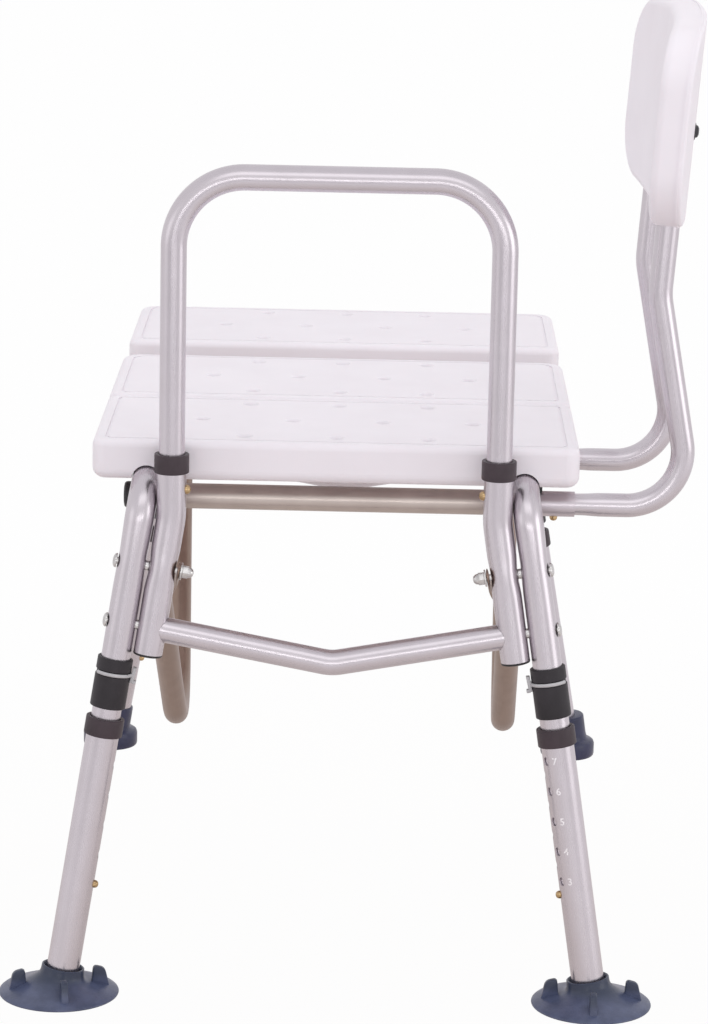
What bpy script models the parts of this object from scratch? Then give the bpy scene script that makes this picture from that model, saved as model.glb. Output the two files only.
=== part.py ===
"""Tub transfer bench: three seat panels on a splayed aluminium frame, with an arm rail and a backrest.

The bench stands on the floor at Z = 0. Its length runs along X with the arm rail at +X, the sitter
faces -Y, and the backrest is at +Y. Every length is in metres.
"""
import math

import bmesh
import bpy
from mathutils import Matrix, Vector

# Clearances
GAP = 0.0003
SLIDE_GAP = 0.0003
HOLE_GAP = 0.0003

# Seat panels
SEAT_LENGTH = 0.660
SEAT_WIDTH = 0.421
SEAT_HEIGHT = 0.485
PANEL_THICKNESS = 0.035
PANEL_SEAM = 0.0024
CURTAIN_GAP = 0.066
ARM_END_CORNER = 0.012
SEAM_CORNER = 0.010
FAR_CORNER = 0.019
PANEL_TOP_ROUND = 0.006
PANEL_BOTTOM_ROUND = 0.0095
GROOVE_INSET = 0.0105
GROOVE_WIDTH = 0.0022
GROOVE_DEPTH = 0.0012
DRAIN_DIAMETER = 0.012
DRAIN_PITCH = 0.0798
DRAIN_ROW_PITCH = 0.069
BELLY_TOP_WIDTH = 0.200
BELLY_SHOULDER_WIDTH = 0.150
BELLY_SHOULDER_DEPTH = 0.008
BELLY_BOTTOM_WIDTH = 0.110
BELLY_INSET = 0.020

# Frame tubes
FRAME_DIAMETER = 0.0254
FRAME_WALL = 0.0012
RAIL_SPAN = 0.326
RAIL_BEND = 0.032
SIDE_SPLAY_ARM_END = 0.156
SIDE_SPLAY_FAR_END = 0.180
END_SPLAY = 0.060

# Cross tubes and backrest
CROSS_DIAMETER = 0.0222
CROSS_WALL = 0.0012
CROSS_FRONT_Y = -0.1824
CROSS_REAR_Y = 0.209
BACK_TUBE_SPACING = 0.185
BACK_CENTRE_X = 0.1875
BACK_TUBE_DIAMETER = 0.0208
BACK_TUBE_WALL = 0.0012
BACK_INSERTION = 0.075
BACK_KNEE_Y = 0.3117
BACK_WAIST_Y = 0.2770
BACK_WAIST_RISE = 0.128
BACK_KNEE_BEND = 0.042
BACK_WAIST_BEND = 0.060
BACK_LEAN = 0.069
SWAGE_LENGTH = 0.030
BACK_WIDTH = 0.374
BACK_HEIGHT = 0.180
BACK_RISE = 0.1905
BACK_THICKNESS = 0.0285
BACK_CURVE_RADIUS = 0.950
BACK_CORNER = 0.052
BACK_ARCH_TOP = 0.0145
BACK_ARCH_BOTTOM = 0.0085
BACK_EDGE_ROUND = 0.006
BACK_POCKET = 0.118
BACK_SCREW_UP = 0.0815
BACK_SCREW_HOLE = 0.0055

# Arm rail and its receivers
ARM_OUTBOARD = 0.023
RECEIVER_BEND_DROP = 0.02514
ARM_DIAMETER = 0.0222
ARM_WALL = 0.0012
ARM_ABOVE_SEAT = 0.2334
ARM_BEND = 0.060
RECEIVER_DIAMETER = 0.0254
RECEIVER_WALL = 0.00125
RECEIVER_BELOW_SEAT = 0.0088
RECEIVER_BEND = 0.080
RECEIVER_REACH = 0.1455
RECEIVER_GAP = 0.0012
ARM_BUTTON_DROP = 0.0017
ARM_END_BELOW_BUTTON = 0.016
ARM_COLLAR_DIAMETER = 0.0300
ARM_COLLAR_HEIGHT = 0.0165
COLLAR_LIP = 0.0030

# Bolts and braces
BOLT_DIAMETER = 0.0060
BOLT_HEAD_DIAMETER = 0.0125
BOLT_HEAD_HEIGHT = 0.0035
WASHER_DIAMETER = 0.0150
WASHER_HEIGHT = 0.0014
NUT_ACROSS_CORNERS = 0.0115
NUT_HEIGHT = 0.0055
NUT_DOME = 0.0040
UPPER_BOLT_DROP = 0.067
LOWER_BOLT_DROP = 0.119
BOLT_IN_BRACE = 0.018
BRACE_DIAMETER = 0.0222
END_BRACE_SAG = 0.0326
END_BRACE_BEND = 0.040
LONG_BRACE_SAG = 0.2594
LONG_BRACE_INSET = 0.007
LONG_BRACE_SWAY = 0.005
LONG_BRACE_BEND = 0.120
TAB_THICKNESS = 0.0026
TAB_LENGTH = 0.014
TAB_BLEND = 0.062
TAB_WIDTH = 0.016
TAB_BULGE = 0.25
TAB_SET_IN = {"arm": 0.0205, "far": 0.0085}
TAB_BEYOND_BOLT = 0.009

# Height-adjusting legs, measured along each leg from the floor
LOWER_LEG_DIAMETER = 0.0286
LOWER_LEG_WALL = 0.0013
LEG_TOP_DROP = 0.2025
BUTTON_SHARE = 0.410
LEG_END_BELOW_BUTTON = 0.018
HOLE_PITCH_SHARE = 0.1091
LEG_HOLE_COUNT = 5
LEG_COLUMN_ANGLE = math.radians(36)
LOWER_COLLAR_DIAMETER = 0.0335
LOWER_COLLAR_HEIGHT = 0.0160
UPPER_COLLAR_DIAMETER = 0.0308
UPPER_COLLAR_HEIGHT = 0.0440
UPPER_COLLAR_GROOVE = 0.0010
COLLAR_SPACE = 0.0095
CLIP_HEIGHT = 0.0034
CLIP_DIAMETER = 0.0340
CLIP_UP = 0.0308
CLIP_OPENING = math.radians(70)
CLIP_TAB_HEIGHT = 0.0140
CLIP_TAB_WIDTH = 0.0070
CLIP_TAB_THICKNESS = 0.0032

# Snap buttons
BUTTON_DIAMETER = 0.0070
ARM_BUTTON_DIAMETER = 0.0085
BUTTON_PROUD = 0.0040
SPRING_THICKNESS = 0.0008
SPRING_WIDTH = 0.0058
SPRING_LENGTH = 0.042

# Feet
CUP_DIAMETER = 0.105
CUP_LIP = 0.0018
CUP_HEIGHT = 0.0125
CUP_SHOULDER = 0.046
CUP_RIM_WIDTH = 0.0030
CUP_HOLLOW = 0.0065
SOCKET_DIAMETER = 0.0376
CUP_SOCKET_TOP = 0.0243
LEG_SEAT = 0.0115
LUG_LENGTH = 0.0150
LUG_THICKNESS = 0.0050
LUG_HEIGHT = 0.0175
LUG_RADIUS = 0.0350
BOOT_DIAMETER = 0.057
BOOT_BASE = 0.0140
BOOT_SOCKET_DIAMETER = 0.0375
BOOT_SOCKET_TOP = 0.0445

# Shape resolution
TUBE_RING_STEPS = 6
TUBE_SIDES = 4 + 2 * TUBE_RING_STEPS
INNER_RING_STEPS = 2
INNER_SIDES = 4 + 2 * INNER_RING_STEPS
ARC_STEP = math.radians(16)
TURN_STEPS = 16

# Sizes that follow from those above
PANEL_DEPTH = (SEAT_LENGTH - PANEL_SEAM - CURTAIN_GAP) / 3
UNDERSIDE_Z = SEAT_HEIGHT - PANEL_THICKNESS
FRAME_RADIUS = FRAME_DIAMETER / 2
RAIL_Y = RAIL_SPAN / 2
RAIL_Z = UNDERSIDE_Z
CROSS_RADIUS = CROSS_DIAMETER / 2
CROSS_Z = RAIL_Z - FRAME_RADIUS - CROSS_RADIUS - GAP
CROSS_BORE = CROSS_RADIUS - CROSS_WALL
BELLY_DEPTH = UNDERSIDE_Z - (CROSS_Z + CROSS_RADIUS + GAP)
SWAGE_DIAMETER = 2 * (CROSS_BORE - SLIDE_GAP) * math.cos(math.pi / TUBE_SIDES)
BACK_TUBE_XS = (BACK_CENTRE_X + BACK_TUBE_SPACING / 2, BACK_CENTRE_X - BACK_TUBE_SPACING / 2)
RECEIVER_RADIUS = RECEIVER_DIAMETER / 2
RECEIVER_Z_BEND = RAIL_Z - RECEIVER_BEND_DROP
RECEIVER_OFFSET = FRAME_RADIUS + RECEIVER_GAP + RECEIVER_RADIUS
ARM_X = SEAT_LENGTH / 2 + ARM_OUTBOARD
ARM_SPAN = 2 * (
    RAIL_Y + SIDE_SPLAY_ARM_END * RECEIVER_BEND_DROP - RECEIVER_OFFSET * math.hypot(1, SIDE_SPLAY_ARM_END)
)
ARM_TOP_Z = SEAT_HEIGHT + ARM_ABOVE_SEAT
RECEIVER_TOP_Z = SEAT_HEIGHT - RECEIVER_BELOW_SEAT
RECEIVER_BOTTOM_Z = RAIL_Z - RECEIVER_REACH
ARM_BUTTON_Z = RAIL_Z - ARM_BUTTON_DROP
UPPER_BOLT_Z = RAIL_Z - UPPER_BOLT_DROP
LOWER_BOLT_Z = RAIL_Z - LOWER_BOLT_DROP
END_BRACE_CORNER_Z = LOWER_BOLT_Z - END_BRACE_SAG
LONG_BRACE_CORNER_Z = UPPER_BOLT_Z - LONG_BRACE_SAG
LONG_BRACE_Y = RAIL_Y - LONG_BRACE_INSET
BACK_WAIST_Z = SEAT_HEIGHT + BACK_WAIST_RISE
BACK_BOTTOM_Z = SEAT_HEIGHT + BACK_RISE
LOWER_LEG_TOP = RAIL_Z - LEG_TOP_DROP
BUTTON_HEIGHT = LOWER_LEG_TOP * BUTTON_SHARE
LEG_HOLE_PITCH = LOWER_LEG_TOP * HOLE_PITCH_SHARE
LEG_BORE = LOWER_LEG_DIAMETER / 2 - LOWER_LEG_WALL

ENDS = {"arm": 1, "far": -1}
SIDES = {"front": -1, "rear": 1}

WHITE = ("white_polyethylene", (0.86, 0.83, 0.82), 0.45, 0.0)
SILVER = ("satin_aluminium", (0.72, 0.71, 0.72), 0.32, 1.0)
GREY = ("dark_grey_plastic", (0.075, 0.065, 0.070), 0.50, 0.0)
PALE_GREY = ("pale_grey_plastic", (0.55, 0.55, 0.55), 0.45, 0.0)
BLACK = ("black_plastic", (0.02, 0.02, 0.022), 0.50, 0.0)
BRASS = ("brass", (0.62, 0.42, 0.20), 0.28, 1.0)
STEEL = ("zinc_steel", (0.60, 0.60, 0.60), 0.30, 1.0)
RUBBER = ("navy_rubber", (0.045, 0.055, 0.085), 0.60, 0.0)


# Scene, materials and simple helpers
def start_scene():
    for obj in list(bpy.data.objects):
        bpy.data.objects.remove(obj, do_unlink=True)
    parts = bpy.data.collections.new("tub_transfer_bench")
    cutters = bpy.data.collections.new("cutters")
    for group in (parts, cutters):
        bpy.context.scene.collection.children.link(group)
    cutters.hide_render = True
    return parts, cutters


PARTS, CUTTERS = start_scene()


def material(part_name, kind):
    name, colour, roughness, metallic = kind
    made = bpy.data.materials.new(f"{part_name}_{name}")
    made.use_nodes = True
    shader = made.node_tree.nodes["Principled BSDF"]
    shader.inputs["Base Color"].default_value = (*colour, 1.0)
    shader.inputs["Roughness"].default_value = roughness
    shader.inputs["Metallic"].default_value = metallic
    made.diffuse_color = (*colour, 1.0)
    return made


def as_part(obj, name, kind, smooth=True, origin=None):
    if origin:
        obj.data.transform(Matrix.Translation(-origin))
        obj.location = origin
    obj.name = name
    obj.data.name = name
    PARTS.objects.link(obj)
    obj.data.materials.clear()
    obj.data.materials.append(material(name, kind))
    for face in obj.data.polygons:
        face.use_smooth = smooth
    return obj


def as_cutter(obj, name="cutter"):
    obj.name = name
    CUTTERS.objects.link(obj)
    obj.hide_render = True
    obj.display_type = "WIRE"
    return obj


def mesh_object(bm, name="shape"):
    bm.normal_update()
    bmesh.ops.recalc_face_normals(bm, faces=bm.faces)
    mesh = bpy.data.meshes.new(name)
    bm.to_mesh(mesh)
    bm.free()
    return bpy.data.objects.new(name, mesh)


def boolean(obj, other, operation="DIFFERENCE"):
    modifier = obj.modifiers.new(operation.lower(), "BOOLEAN")
    modifier.operation = operation
    modifier.solver = "EXACT"
    modifier.object = other
    return obj


def cut(obj, *cutters):
    for cutter in cutters:
        boolean(obj, cutter)
    return obj


def join(obj, *others):
    for other in others:
        boolean(obj, as_cutter(other, "joined"), "UNION")
    return obj


# Axes: a matrix whose Z runs along a direction and whose X is as near as can be to a second one
def axis_matrix(origin, along, towards):
    z = Vector(along).normalized()
    x = Vector(towards) - z * Vector(towards).dot(z)
    x.normalize()
    y = z.cross(x)
    rotation = Matrix((x, y, z)).transposed().to_4x4()
    return Matrix.Translation(Vector(origin)) @ rotation


# Curves: a polyline with rounded corners, swept into a tube and turned into a mesh
def rounded(corners, radii):
    points = [Vector(corners[0])]
    for before, corner, after, radius in zip(corners, corners[1:], corners[2:], radii):
        before, corner, after = Vector(before), Vector(corner), Vector(after)
        back = (before - corner).normalized()
        ahead = (after - corner).normalized()
        turn = math.pi - back.angle(ahead)
        reach = radius * math.tan(turn / 2)
        centre = corner + (back + ahead).normalized() * (radius / math.cos(turn / 2))
        start = corner + back * reach - centre
        axis = back.cross(ahead).normalized()
        steps = max(2, round(turn / ARC_STEP))
        for step in range(steps + 1):
            spin = Matrix.Rotation(-turn * step / steps, 3, axis)
            points.append(centre + spin @ start)
    points.append(Vector(corners[-1]))
    return points


def tube(points, radius, scales=None, ring=TUBE_RING_STEPS):
    curve = bpy.data.curves.new("tube", "CURVE")
    curve.dimensions = "3D"
    curve.bevel_depth = radius
    curve.bevel_resolution = ring
    curve.use_fill_caps = True
    spline = curve.splines.new("POLY")
    spline.points.add(len(points) - 1)
    for index, point in enumerate(points):
        spline.points[index].co = (*point, 1.0)
        spline.points[index].radius = scales[index] if scales else 1.0
    return curve_to_mesh(curve)


def curve_to_mesh(curve):
    source = bpy.data.objects.new("curve", curve)
    bpy.context.scene.collection.objects.link(source)
    bpy.context.view_layer.update()
    graph = bpy.context.evaluated_depsgraph_get()
    mesh = bpy.data.meshes.new_from_object(source.evaluated_get(graph))
    made = bpy.data.objects.new("shape", mesh)
    made.matrix_world = source.matrix_world
    bpy.data.objects.remove(source, do_unlink=True)
    bm = bmesh.new()
    bm.from_mesh(mesh)
    bmesh.ops.remove_doubles(bm, verts=bm.verts, dist=0.00001)
    bmesh.ops.recalc_face_normals(bm, faces=bm.faces)
    bm.to_mesh(mesh)
    bm.free()
    return made


def beyond(points, length):
    start = points[0] + (points[0] - points[1]).normalized() * length
    end = points[-1] + (points[-1] - points[-2]).normalized() * length
    return [start, *points[1:-1], end]


def bored(part, points, radius, wall, ring=TUBE_RING_STEPS):
    return cut(part, as_cutter(tube(beyond(points, 0.002), radius - wall, ring=ring), "bore"))


# Flat outlines, filled and given a thickness about their own plane
def outline_solid(outlines, half_height, matrix=None):
    curve = bpy.data.curves.new("outline", "CURVE")
    curve.dimensions = "2D"
    curve.fill_mode = "BOTH"
    curve.extrude = half_height
    for outline in outlines:
        spline = curve.splines.new("POLY")
        spline.points.add(len(outline) - 1)
        for index, (x, y) in enumerate(outline):
            spline.points[index].co = (x, y, 0.0, 1.0)
        spline.use_cyclic_u = True
    made = curve_to_mesh(curve)
    made.data.transform(matrix or Matrix())
    return made


def rounded_rectangle(length, width, near_radius, far_radius, steps=4):
    points = []
    corners = ((1, 1, 0), (-1, 1, 90), (-1, -1, 180), (1, -1, 270))
    for sx, sy, first in corners:
        radius = near_radius if sx > 0 else far_radius
        for step in range(steps + 1):
            angle = math.radians(first + 90 * step / steps)
            x = sx * (length / 2 - radius) + radius * math.cos(angle)
            y = sy * (width / 2 - radius) + radius * math.sin(angle)
            points.append((x, y))
    return points


# Primitives placed by a matrix whose Z is their axis
def cylinder(radius, low, high, matrix, sides=16):
    bm = bmesh.new()
    bmesh.ops.create_cone(bm, cap_ends=True, segments=sides, radius1=radius, radius2=radius, depth=high - low)
    bmesh.ops.translate(bm, verts=bm.verts, vec=(0, 0, (low + high) / 2))
    bm.transform(matrix)
    return mesh_object(bm)


def box(low, high, matrix=None):
    bm = bmesh.new()
    bmesh.ops.create_cube(bm, size=1.0)
    size = [b - a for a, b in zip(low, high)]
    middle = [(a + b) / 2 for a, b in zip(low, high)]
    bmesh.ops.scale(bm, verts=bm.verts, vec=size)
    bmesh.ops.translate(bm, verts=bm.verts, vec=middle)
    bm.transform(matrix or Matrix())
    return mesh_object(bm)


# A turned solid: a profile of (radius, height) pairs from top to bottom, screwed about the matrix's Z
def turned(profile, matrix, steps=TURN_STEPS, closed=False):
    mesh = bpy.data.meshes.new("profile")
    edges = [(index, index + 1) for index in range(len(profile) - 1)]
    if closed:
        edges.append((len(profile) - 1, 0))
    mesh.from_pydata([(radius, 0, height) for radius, height in profile], edges, [])
    made = bpy.data.objects.new("turned", mesh)
    made.matrix_basis = matrix
    screw = made.modifiers.new("screw", "SCREW")
    screw.steps = steps
    screw.render_steps = steps
    screw.use_merge_vertices = True
    screw.merge_threshold = 0.00001
    screw.use_smooth_shade = True
    return made


# Legs: where each one runs and the frames that its parts are built in
def side_splay(end):
    return SIDE_SPLAY_ARM_END if end == "arm" else SIDE_SPLAY_FAR_END


def leg_point(end, side, z):
    x = ARM_X + END_SPLAY * (RECEIVER_Z_BEND - z)
    y = RAIL_Y + side_splay(end) * (RAIL_Z - z)
    return Vector((ENDS[end] * x, SIDES[side] * y, z))


def leg_up(end, side):
    return Vector((-ENDS[end] * END_SPLAY, -SIDES[side] * side_splay(end), 1.0)).normalized()


def leg_frame(end, side):
    inboard = (0, -SIDES[side], 0)
    return axis_matrix(leg_point(end, side, 0.0), leg_up(end, side), inboard)


def on_leg(end, side, height):
    return leg_frame(end, side) @ Vector((0, 0, height))


def bolt_frame(end, side, z):
    splay = side_splay(end)
    inboard = Vector((0, -SIDES[side], -splay))
    return axis_matrix(leg_point(end, side, z), inboard, leg_up(end, side))


# Seat
def seat_panel(name, centre_x, near_corner, far_corner):
    plan = rounded_rectangle(PANEL_DEPTH, SEAT_WIDTH, near_corner, far_corner)
    base = outline_solid([plan], PANEL_THICKNESS / 2)
    bm = bmesh.new()
    bm.from_mesh(base.data)
    weight = bm.edges.layers.float.new("bevel_weight_edge")
    for edge in bm.edges:
        heights = [vert.co.z for vert in edge.verts]
        if min(heights) > 0:
            edge[weight] = PANEL_TOP_ROUND / PANEL_BOTTOM_ROUND
        elif max(heights) < 0:
            edge[weight] = 1.0
    bmesh.ops.dissolve_limit(bm, angle_limit=0.001, verts=bm.verts, edges=bm.edges)
    bm.to_mesh(base.data)
    bm.free()
    base.data.transform(Matrix.Translation((centre_x, 0, SEAT_HEIGHT - PANEL_THICKNESS / 2)))
    panel = as_part(base, name, WHITE, smooth=False)
    rim = panel.modifiers.new("rim", "BEVEL")
    rim.limit_method = "WEIGHT"
    rim.width = PANEL_BOTTOM_ROUND
    rim.segments = 3
    join(panel, panel_belly(centre_x))
    groove = panel_groove(centre_x, near_corner, far_corner)
    cut(panel, *rail_channels(centre_x), groove, drain_holes(centre_x))
    return panel


def panel_belly(centre_x):
    half_top = BELLY_TOP_WIDTH / 2
    half_middle = BELLY_SHOULDER_WIDTH / 2
    half_bottom = BELLY_BOTTOM_WIDTH / 2
    top = PANEL_THICKNESS / 2
    section = [(-half_bottom, -BELLY_DEPTH), (half_bottom, -BELLY_DEPTH)]
    section += [(half_middle, -BELLY_SHOULDER_DEPTH), (half_top, 0), (half_top, top)]
    section += [(-half_top, top), (-half_top, 0), (-half_middle, -BELLY_SHOULDER_DEPTH)]
    matrix = axis_matrix((centre_x, 0, UNDERSIDE_Z), (1, 0, 0), (0, 1, 0))
    return outline_solid([section], PANEL_DEPTH / 2 - BELLY_INSET, matrix)


def rail_channels(centre_x):
    reach = PANEL_DEPTH / 2 + 0.005
    channels = []
    for side in SIDES.values():
        matrix = axis_matrix((centre_x, side * RAIL_Y, RAIL_Z), (1, 0, 0), (0, 1, 0))
        channels.append(as_cutter(cylinder(FRAME_RADIUS + GAP, -reach, reach, matrix, 24), "rail_channel"))
    return channels


def panel_groove(centre_x, near_corner, far_corner):
    outlines = []
    for inset in (GROOVE_INSET, GROOVE_INSET + GROOVE_WIDTH):
        near = max(near_corner - inset / 2, 0.003)
        far = max(far_corner - inset / 2, 0.003)
        outlines.append(rounded_rectangle(PANEL_DEPTH - 2 * inset, SEAT_WIDTH - 2 * inset, near, far, 3))
    matrix = Matrix.Translation((centre_x, 0, SEAT_HEIGHT))
    return as_cutter(outline_solid(outlines, GROOVE_DEPTH, matrix), "groove")


def drain_holes(centre_x):
    bm = bmesh.new()
    for row, count in ((-1, 3), (0, 4), (1, 3)):
        for index in range(count):
            x = centre_x + row * DRAIN_ROW_PITCH
            y = (index - (count - 1) / 2) * DRAIN_PITCH
            place = Matrix.Translation((x, y, SEAT_HEIGHT - PANEL_THICKNESS / 2))
            bmesh.ops.create_cone(
                bm,
                cap_ends=True,
                segments=10,
                radius1=DRAIN_DIAMETER / 2,
                radius2=DRAIN_DIAMETER / 2,
                depth=PANEL_THICKNESS + 4 * BELLY_DEPTH,
                matrix=place,
            )
    return as_cutter(mesh_object(bm), "drain_holes")


def build_seat():
    first = SEAT_LENGTH / 2 - PANEL_DEPTH / 2
    middle = first - PANEL_DEPTH - PANEL_SEAM
    far = -first
    seat_panel("seat_panel_arm_end", first, ARM_END_CORNER, SEAM_CORNER)
    seat_panel("seat_panel_middle", middle, SEAM_CORNER, FAR_CORNER)
    seat_panel("seat_panel_far_end", far, SEAM_CORNER, FAR_CORNER)


# Snap buttons: a V spring and its button in one, in a frame whose Z is the tube and X the way it points
def spring_band(bore, flip):
    reach = math.sqrt((bore * math.cos(math.pi / INNER_SIDES) - GAP) ** 2 - (SPRING_WIDTH / 2) ** 2)
    outer = reach - SPRING_THICKNESS / 2
    middle = [(outer, 0.006), (outer, -0.010), (0.0, -SPRING_LENGTH), (-outer, -0.012), (-outer, 0.0)]
    if flip:
        middle = [(x, -y) for x, y in middle]
    left, right = [], []
    for index, point in enumerate(middle):
        here = Vector(point)
        before = Vector(middle[max(index - 1, 0)])
        after = Vector(middle[min(index + 1, len(middle) - 1)])
        first = (here - before).normalized() if index else (after - here).normalized()
        second = (after - here).normalized() if index < len(middle) - 1 else first
        normal = (Vector((-first.y, first.x)) + Vector((-second.y, second.x))).normalized()
        stretch = SPRING_THICKNESS / 2 / max(0.2, normal.dot(Vector((-first.y, first.x))))
        left.append(tuple(here + normal * stretch))
        right.append(tuple(here - normal * stretch))
    return left + right[::-1], reach


def snap_button(name, matrix, bore, outer_radius, diameter, flip=False):
    outline, reach = spring_band(bore, flip)
    stand = matrix @ Matrix.Rotation(math.pi / 2, 4, "X")
    spring = outline_solid([outline], SPRING_WIDTH / 2, stand)
    tip = outer_radius + BUTTON_PROUD
    radius = diameter / 2
    profile = [
        (0, tip),
        (radius * 0.55, tip - radius * 0.12),
        (radius * 0.90, tip - radius * 0.42),
        (radius, tip - radius * 0.80),
        (radius, reach - SPRING_THICKNESS / 2),
        (0, reach - SPRING_THICKNESS / 2),
    ]
    pointing = matrix @ Matrix.Rotation(math.pi / 2, 4, "Y")
    button = as_part(turned(profile, pointing, steps=10), name, BRASS)
    return join(button, spring)


def button_hole(matrix, radius, reach, name="button_hole"):
    pointing = matrix @ Matrix.Rotation(math.pi / 2, 4, "Y")
    return as_cutter(cylinder(radius + HOLE_GAP, 0, reach, pointing, 12), name)


# Frame: each side is one tube, with a leg at each end
def frame_side(side):
    lower = BUTTON_HEIGHT - LEG_END_BELOW_BUTTON
    corners = [
        on_leg("far", side, lower),
        leg_point("far", side, RAIL_Z),
        leg_point("arm", side, RAIL_Z),
        on_leg("arm", side, lower),
    ]
    tube_points = rounded(corners, [RAIL_BEND, RAIL_BEND])
    frame = as_part(tube(tube_points, FRAME_RADIUS), f"frame_tube_{side}", SILVER)
    bored(frame, tube_points, FRAME_RADIUS, FRAME_WALL, INNER_RING_STEPS)
    for end in ENDS:
        place = leg_frame(end, side) @ Matrix.Translation((0, 0, BUTTON_HEIGHT))
        cut(frame, button_hole(place, BUTTON_DIAMETER / 2, LOWER_LEG_DIAMETER))
        cut(frame, bolt_hole(end, side, UPPER_BOLT_Z), bolt_hole(end, side, LOWER_BOLT_Z))
    return frame


def cross_tube(name, x):
    points = [Vector((x, CROSS_FRONT_Y, CROSS_Z)), Vector((x, CROSS_REAR_Y, CROSS_Z))]
    made = bored(as_part(tube(points, CROSS_RADIUS), name, SILVER), points, CROSS_RADIUS, CROSS_WALL)
    return cut(made, button_hole(back_button_frame(x), BUTTON_DIAMETER / 2, CROSS_DIAMETER))


def cross_plug(name, x):
    matrix = axis_matrix((x, CROSS_FRONT_Y, CROSS_Z), (0, -1, 0), (1, 0, 0))
    bore = CROSS_BORE * math.cos(math.pi / TUBE_SIDES) - GAP
    profile = [
        (0, 0.0030),
        (CROSS_RADIUS * 0.86, 0.0030),
        (CROSS_RADIUS, 0.0018),
        (CROSS_RADIUS, GAP),
        (bore, GAP),
        (bore, -0.012),
        (0, -0.012),
    ]
    return as_part(turned(profile, matrix), name, BLACK)


# Legs: outer tube with two staggered hole columns, its collar, the upper collar and its ring clip
def lower_leg(end, side):
    frame = leg_frame(end, side)
    outer = cylinder(LOWER_LEG_DIAMETER / 2, LEG_SEAT, LOWER_LEG_TOP, frame, TUBE_SIDES)
    bore = as_cutter(cylinder(LEG_BORE, 0, LOWER_LEG_TOP + 0.01, frame, TUBE_SIDES), "leg_bore")
    leg = as_part(outer, f"lower_leg_{end}_{side}", SILVER, origin=frame.translation)
    cut(leg, bore, leg_holes(frame, 0.0, 0.0), leg_holes(frame, LEG_COLUMN_ANGLE, 0.5))
    return leg


def leg_holes(frame, angle, offset):
    bm = bmesh.new()
    for index in range(LEG_HOLE_COUNT):
        height = BUTTON_HEIGHT + (index + offset) * LEG_HOLE_PITCH
        place = frame @ Matrix.Rotation(angle, 4, "Z") @ Matrix.Translation((0, 0, height))
        place = place @ Matrix.Rotation(math.pi / 2, 4, "Y")
        place = place @ Matrix.Translation((0, 0, LOWER_LEG_DIAMETER / 2))
        bmesh.ops.create_cone(
            bm,
            cap_ends=True,
            segments=8,
            radius1=BUTTON_DIAMETER / 2 + HOLE_GAP,
            radius2=BUTTON_DIAMETER / 2 + HOLE_GAP,
            depth=LOWER_LEG_DIAMETER / 2,
            matrix=place,
        )
    return as_cutter(mesh_object(bm), "leg_holes")


def sleeve(name, kind, matrix, outer, height, inner, lip_inner, lip, edge=0.0012):
    profile = [
        (outer - edge, height),
        (outer, height - edge),
        (outer, edge),
        (outer - edge, 0),
        (inner, 0),
        (inner, height - lip),
        (lip_inner, height - lip),
        (lip_inner, height),
    ]
    return as_part(turned(profile, matrix, closed=True), name, kind)


def leg_collars(end, side):
    frame = leg_frame(end, side)
    top = LOWER_LEG_TOP + GAP + COLLAR_LIP
    lower = frame @ Matrix.Translation((0, 0, top - LOWER_COLLAR_HEIGHT))
    sleeve(
        f"lower_collar_{end}_{side}",
        GREY,
        lower,
        LOWER_COLLAR_DIAMETER / 2,
        LOWER_COLLAR_HEIGHT,
        LOWER_LEG_DIAMETER / 2 + GAP,
        FRAME_RADIUS + 2 * GAP,
        COLLAR_LIP,
    )
    start = top + COLLAR_SPACE
    upper = frame @ Matrix.Translation((0, 0, start))
    outer = UPPER_COLLAR_DIAMETER / 2
    low = CLIP_UP - CLIP_HEIGHT / 2 - GAP
    high = CLIP_UP + CLIP_HEIGHT / 2 + GAP
    inner = FRAME_RADIUS + GAP
    profile = [
        (outer - 0.001, UPPER_COLLAR_HEIGHT),
        (outer, UPPER_COLLAR_HEIGHT - 0.001),
        (outer, high),
        (outer - UPPER_COLLAR_GROOVE, high),
        (outer - UPPER_COLLAR_GROOVE, low),
        (outer, low),
        (outer, 0.001),
        (outer - 0.001, 0),
        (inner, 0),
        (inner, UPPER_COLLAR_HEIGHT),
    ]
    as_part(turned(profile, upper, closed=True), f"upper_collar_{end}_{side}", GREY)
    ring_clip(end, side, frame @ Matrix.Translation((0, 0, start + CLIP_UP)))


def ring_clip(end, side, matrix):
    inner = UPPER_COLLAR_DIAMETER / 2 - UPPER_COLLAR_GROOVE + GAP
    outer = CLIP_DIAMETER / 2
    start = math.pi + CLIP_OPENING / 2
    sweep = math.tau - CLIP_OPENING
    steps = 16
    angles = [start + sweep * step / steps for step in range(steps + 1)]
    outline = [(outer * math.cos(a), outer * math.sin(a)) for a in angles]
    outline += [(inner * math.cos(a), inner * math.sin(a)) for a in reversed(angles)]
    clip = outline_solid([outline], CLIP_HEIGHT / 2, matrix @ Matrix.Rotation(math.pi / 2, 4, "Z"))
    tab_low = UPPER_COLLAR_DIAMETER / 2 + GAP
    half = CLIP_TAB_WIDTH / 2
    low = (tab_low, -half, -CLIP_TAB_HEIGHT / 2)
    high = (tab_low + CLIP_TAB_THICKNESS, half, CLIP_TAB_HEIGHT / 2)
    return join(as_part(clip, f"ring_clip_{end}_{side}", PALE_GREY, smooth=False), box(low, high, matrix))


# Feet: a flat base on the floor and a socket that leans with the leg
def floor_matrix(end, side):
    point = leg_point(end, side, 0.0)
    return Matrix.Translation((point.x, point.y, 0))


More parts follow.
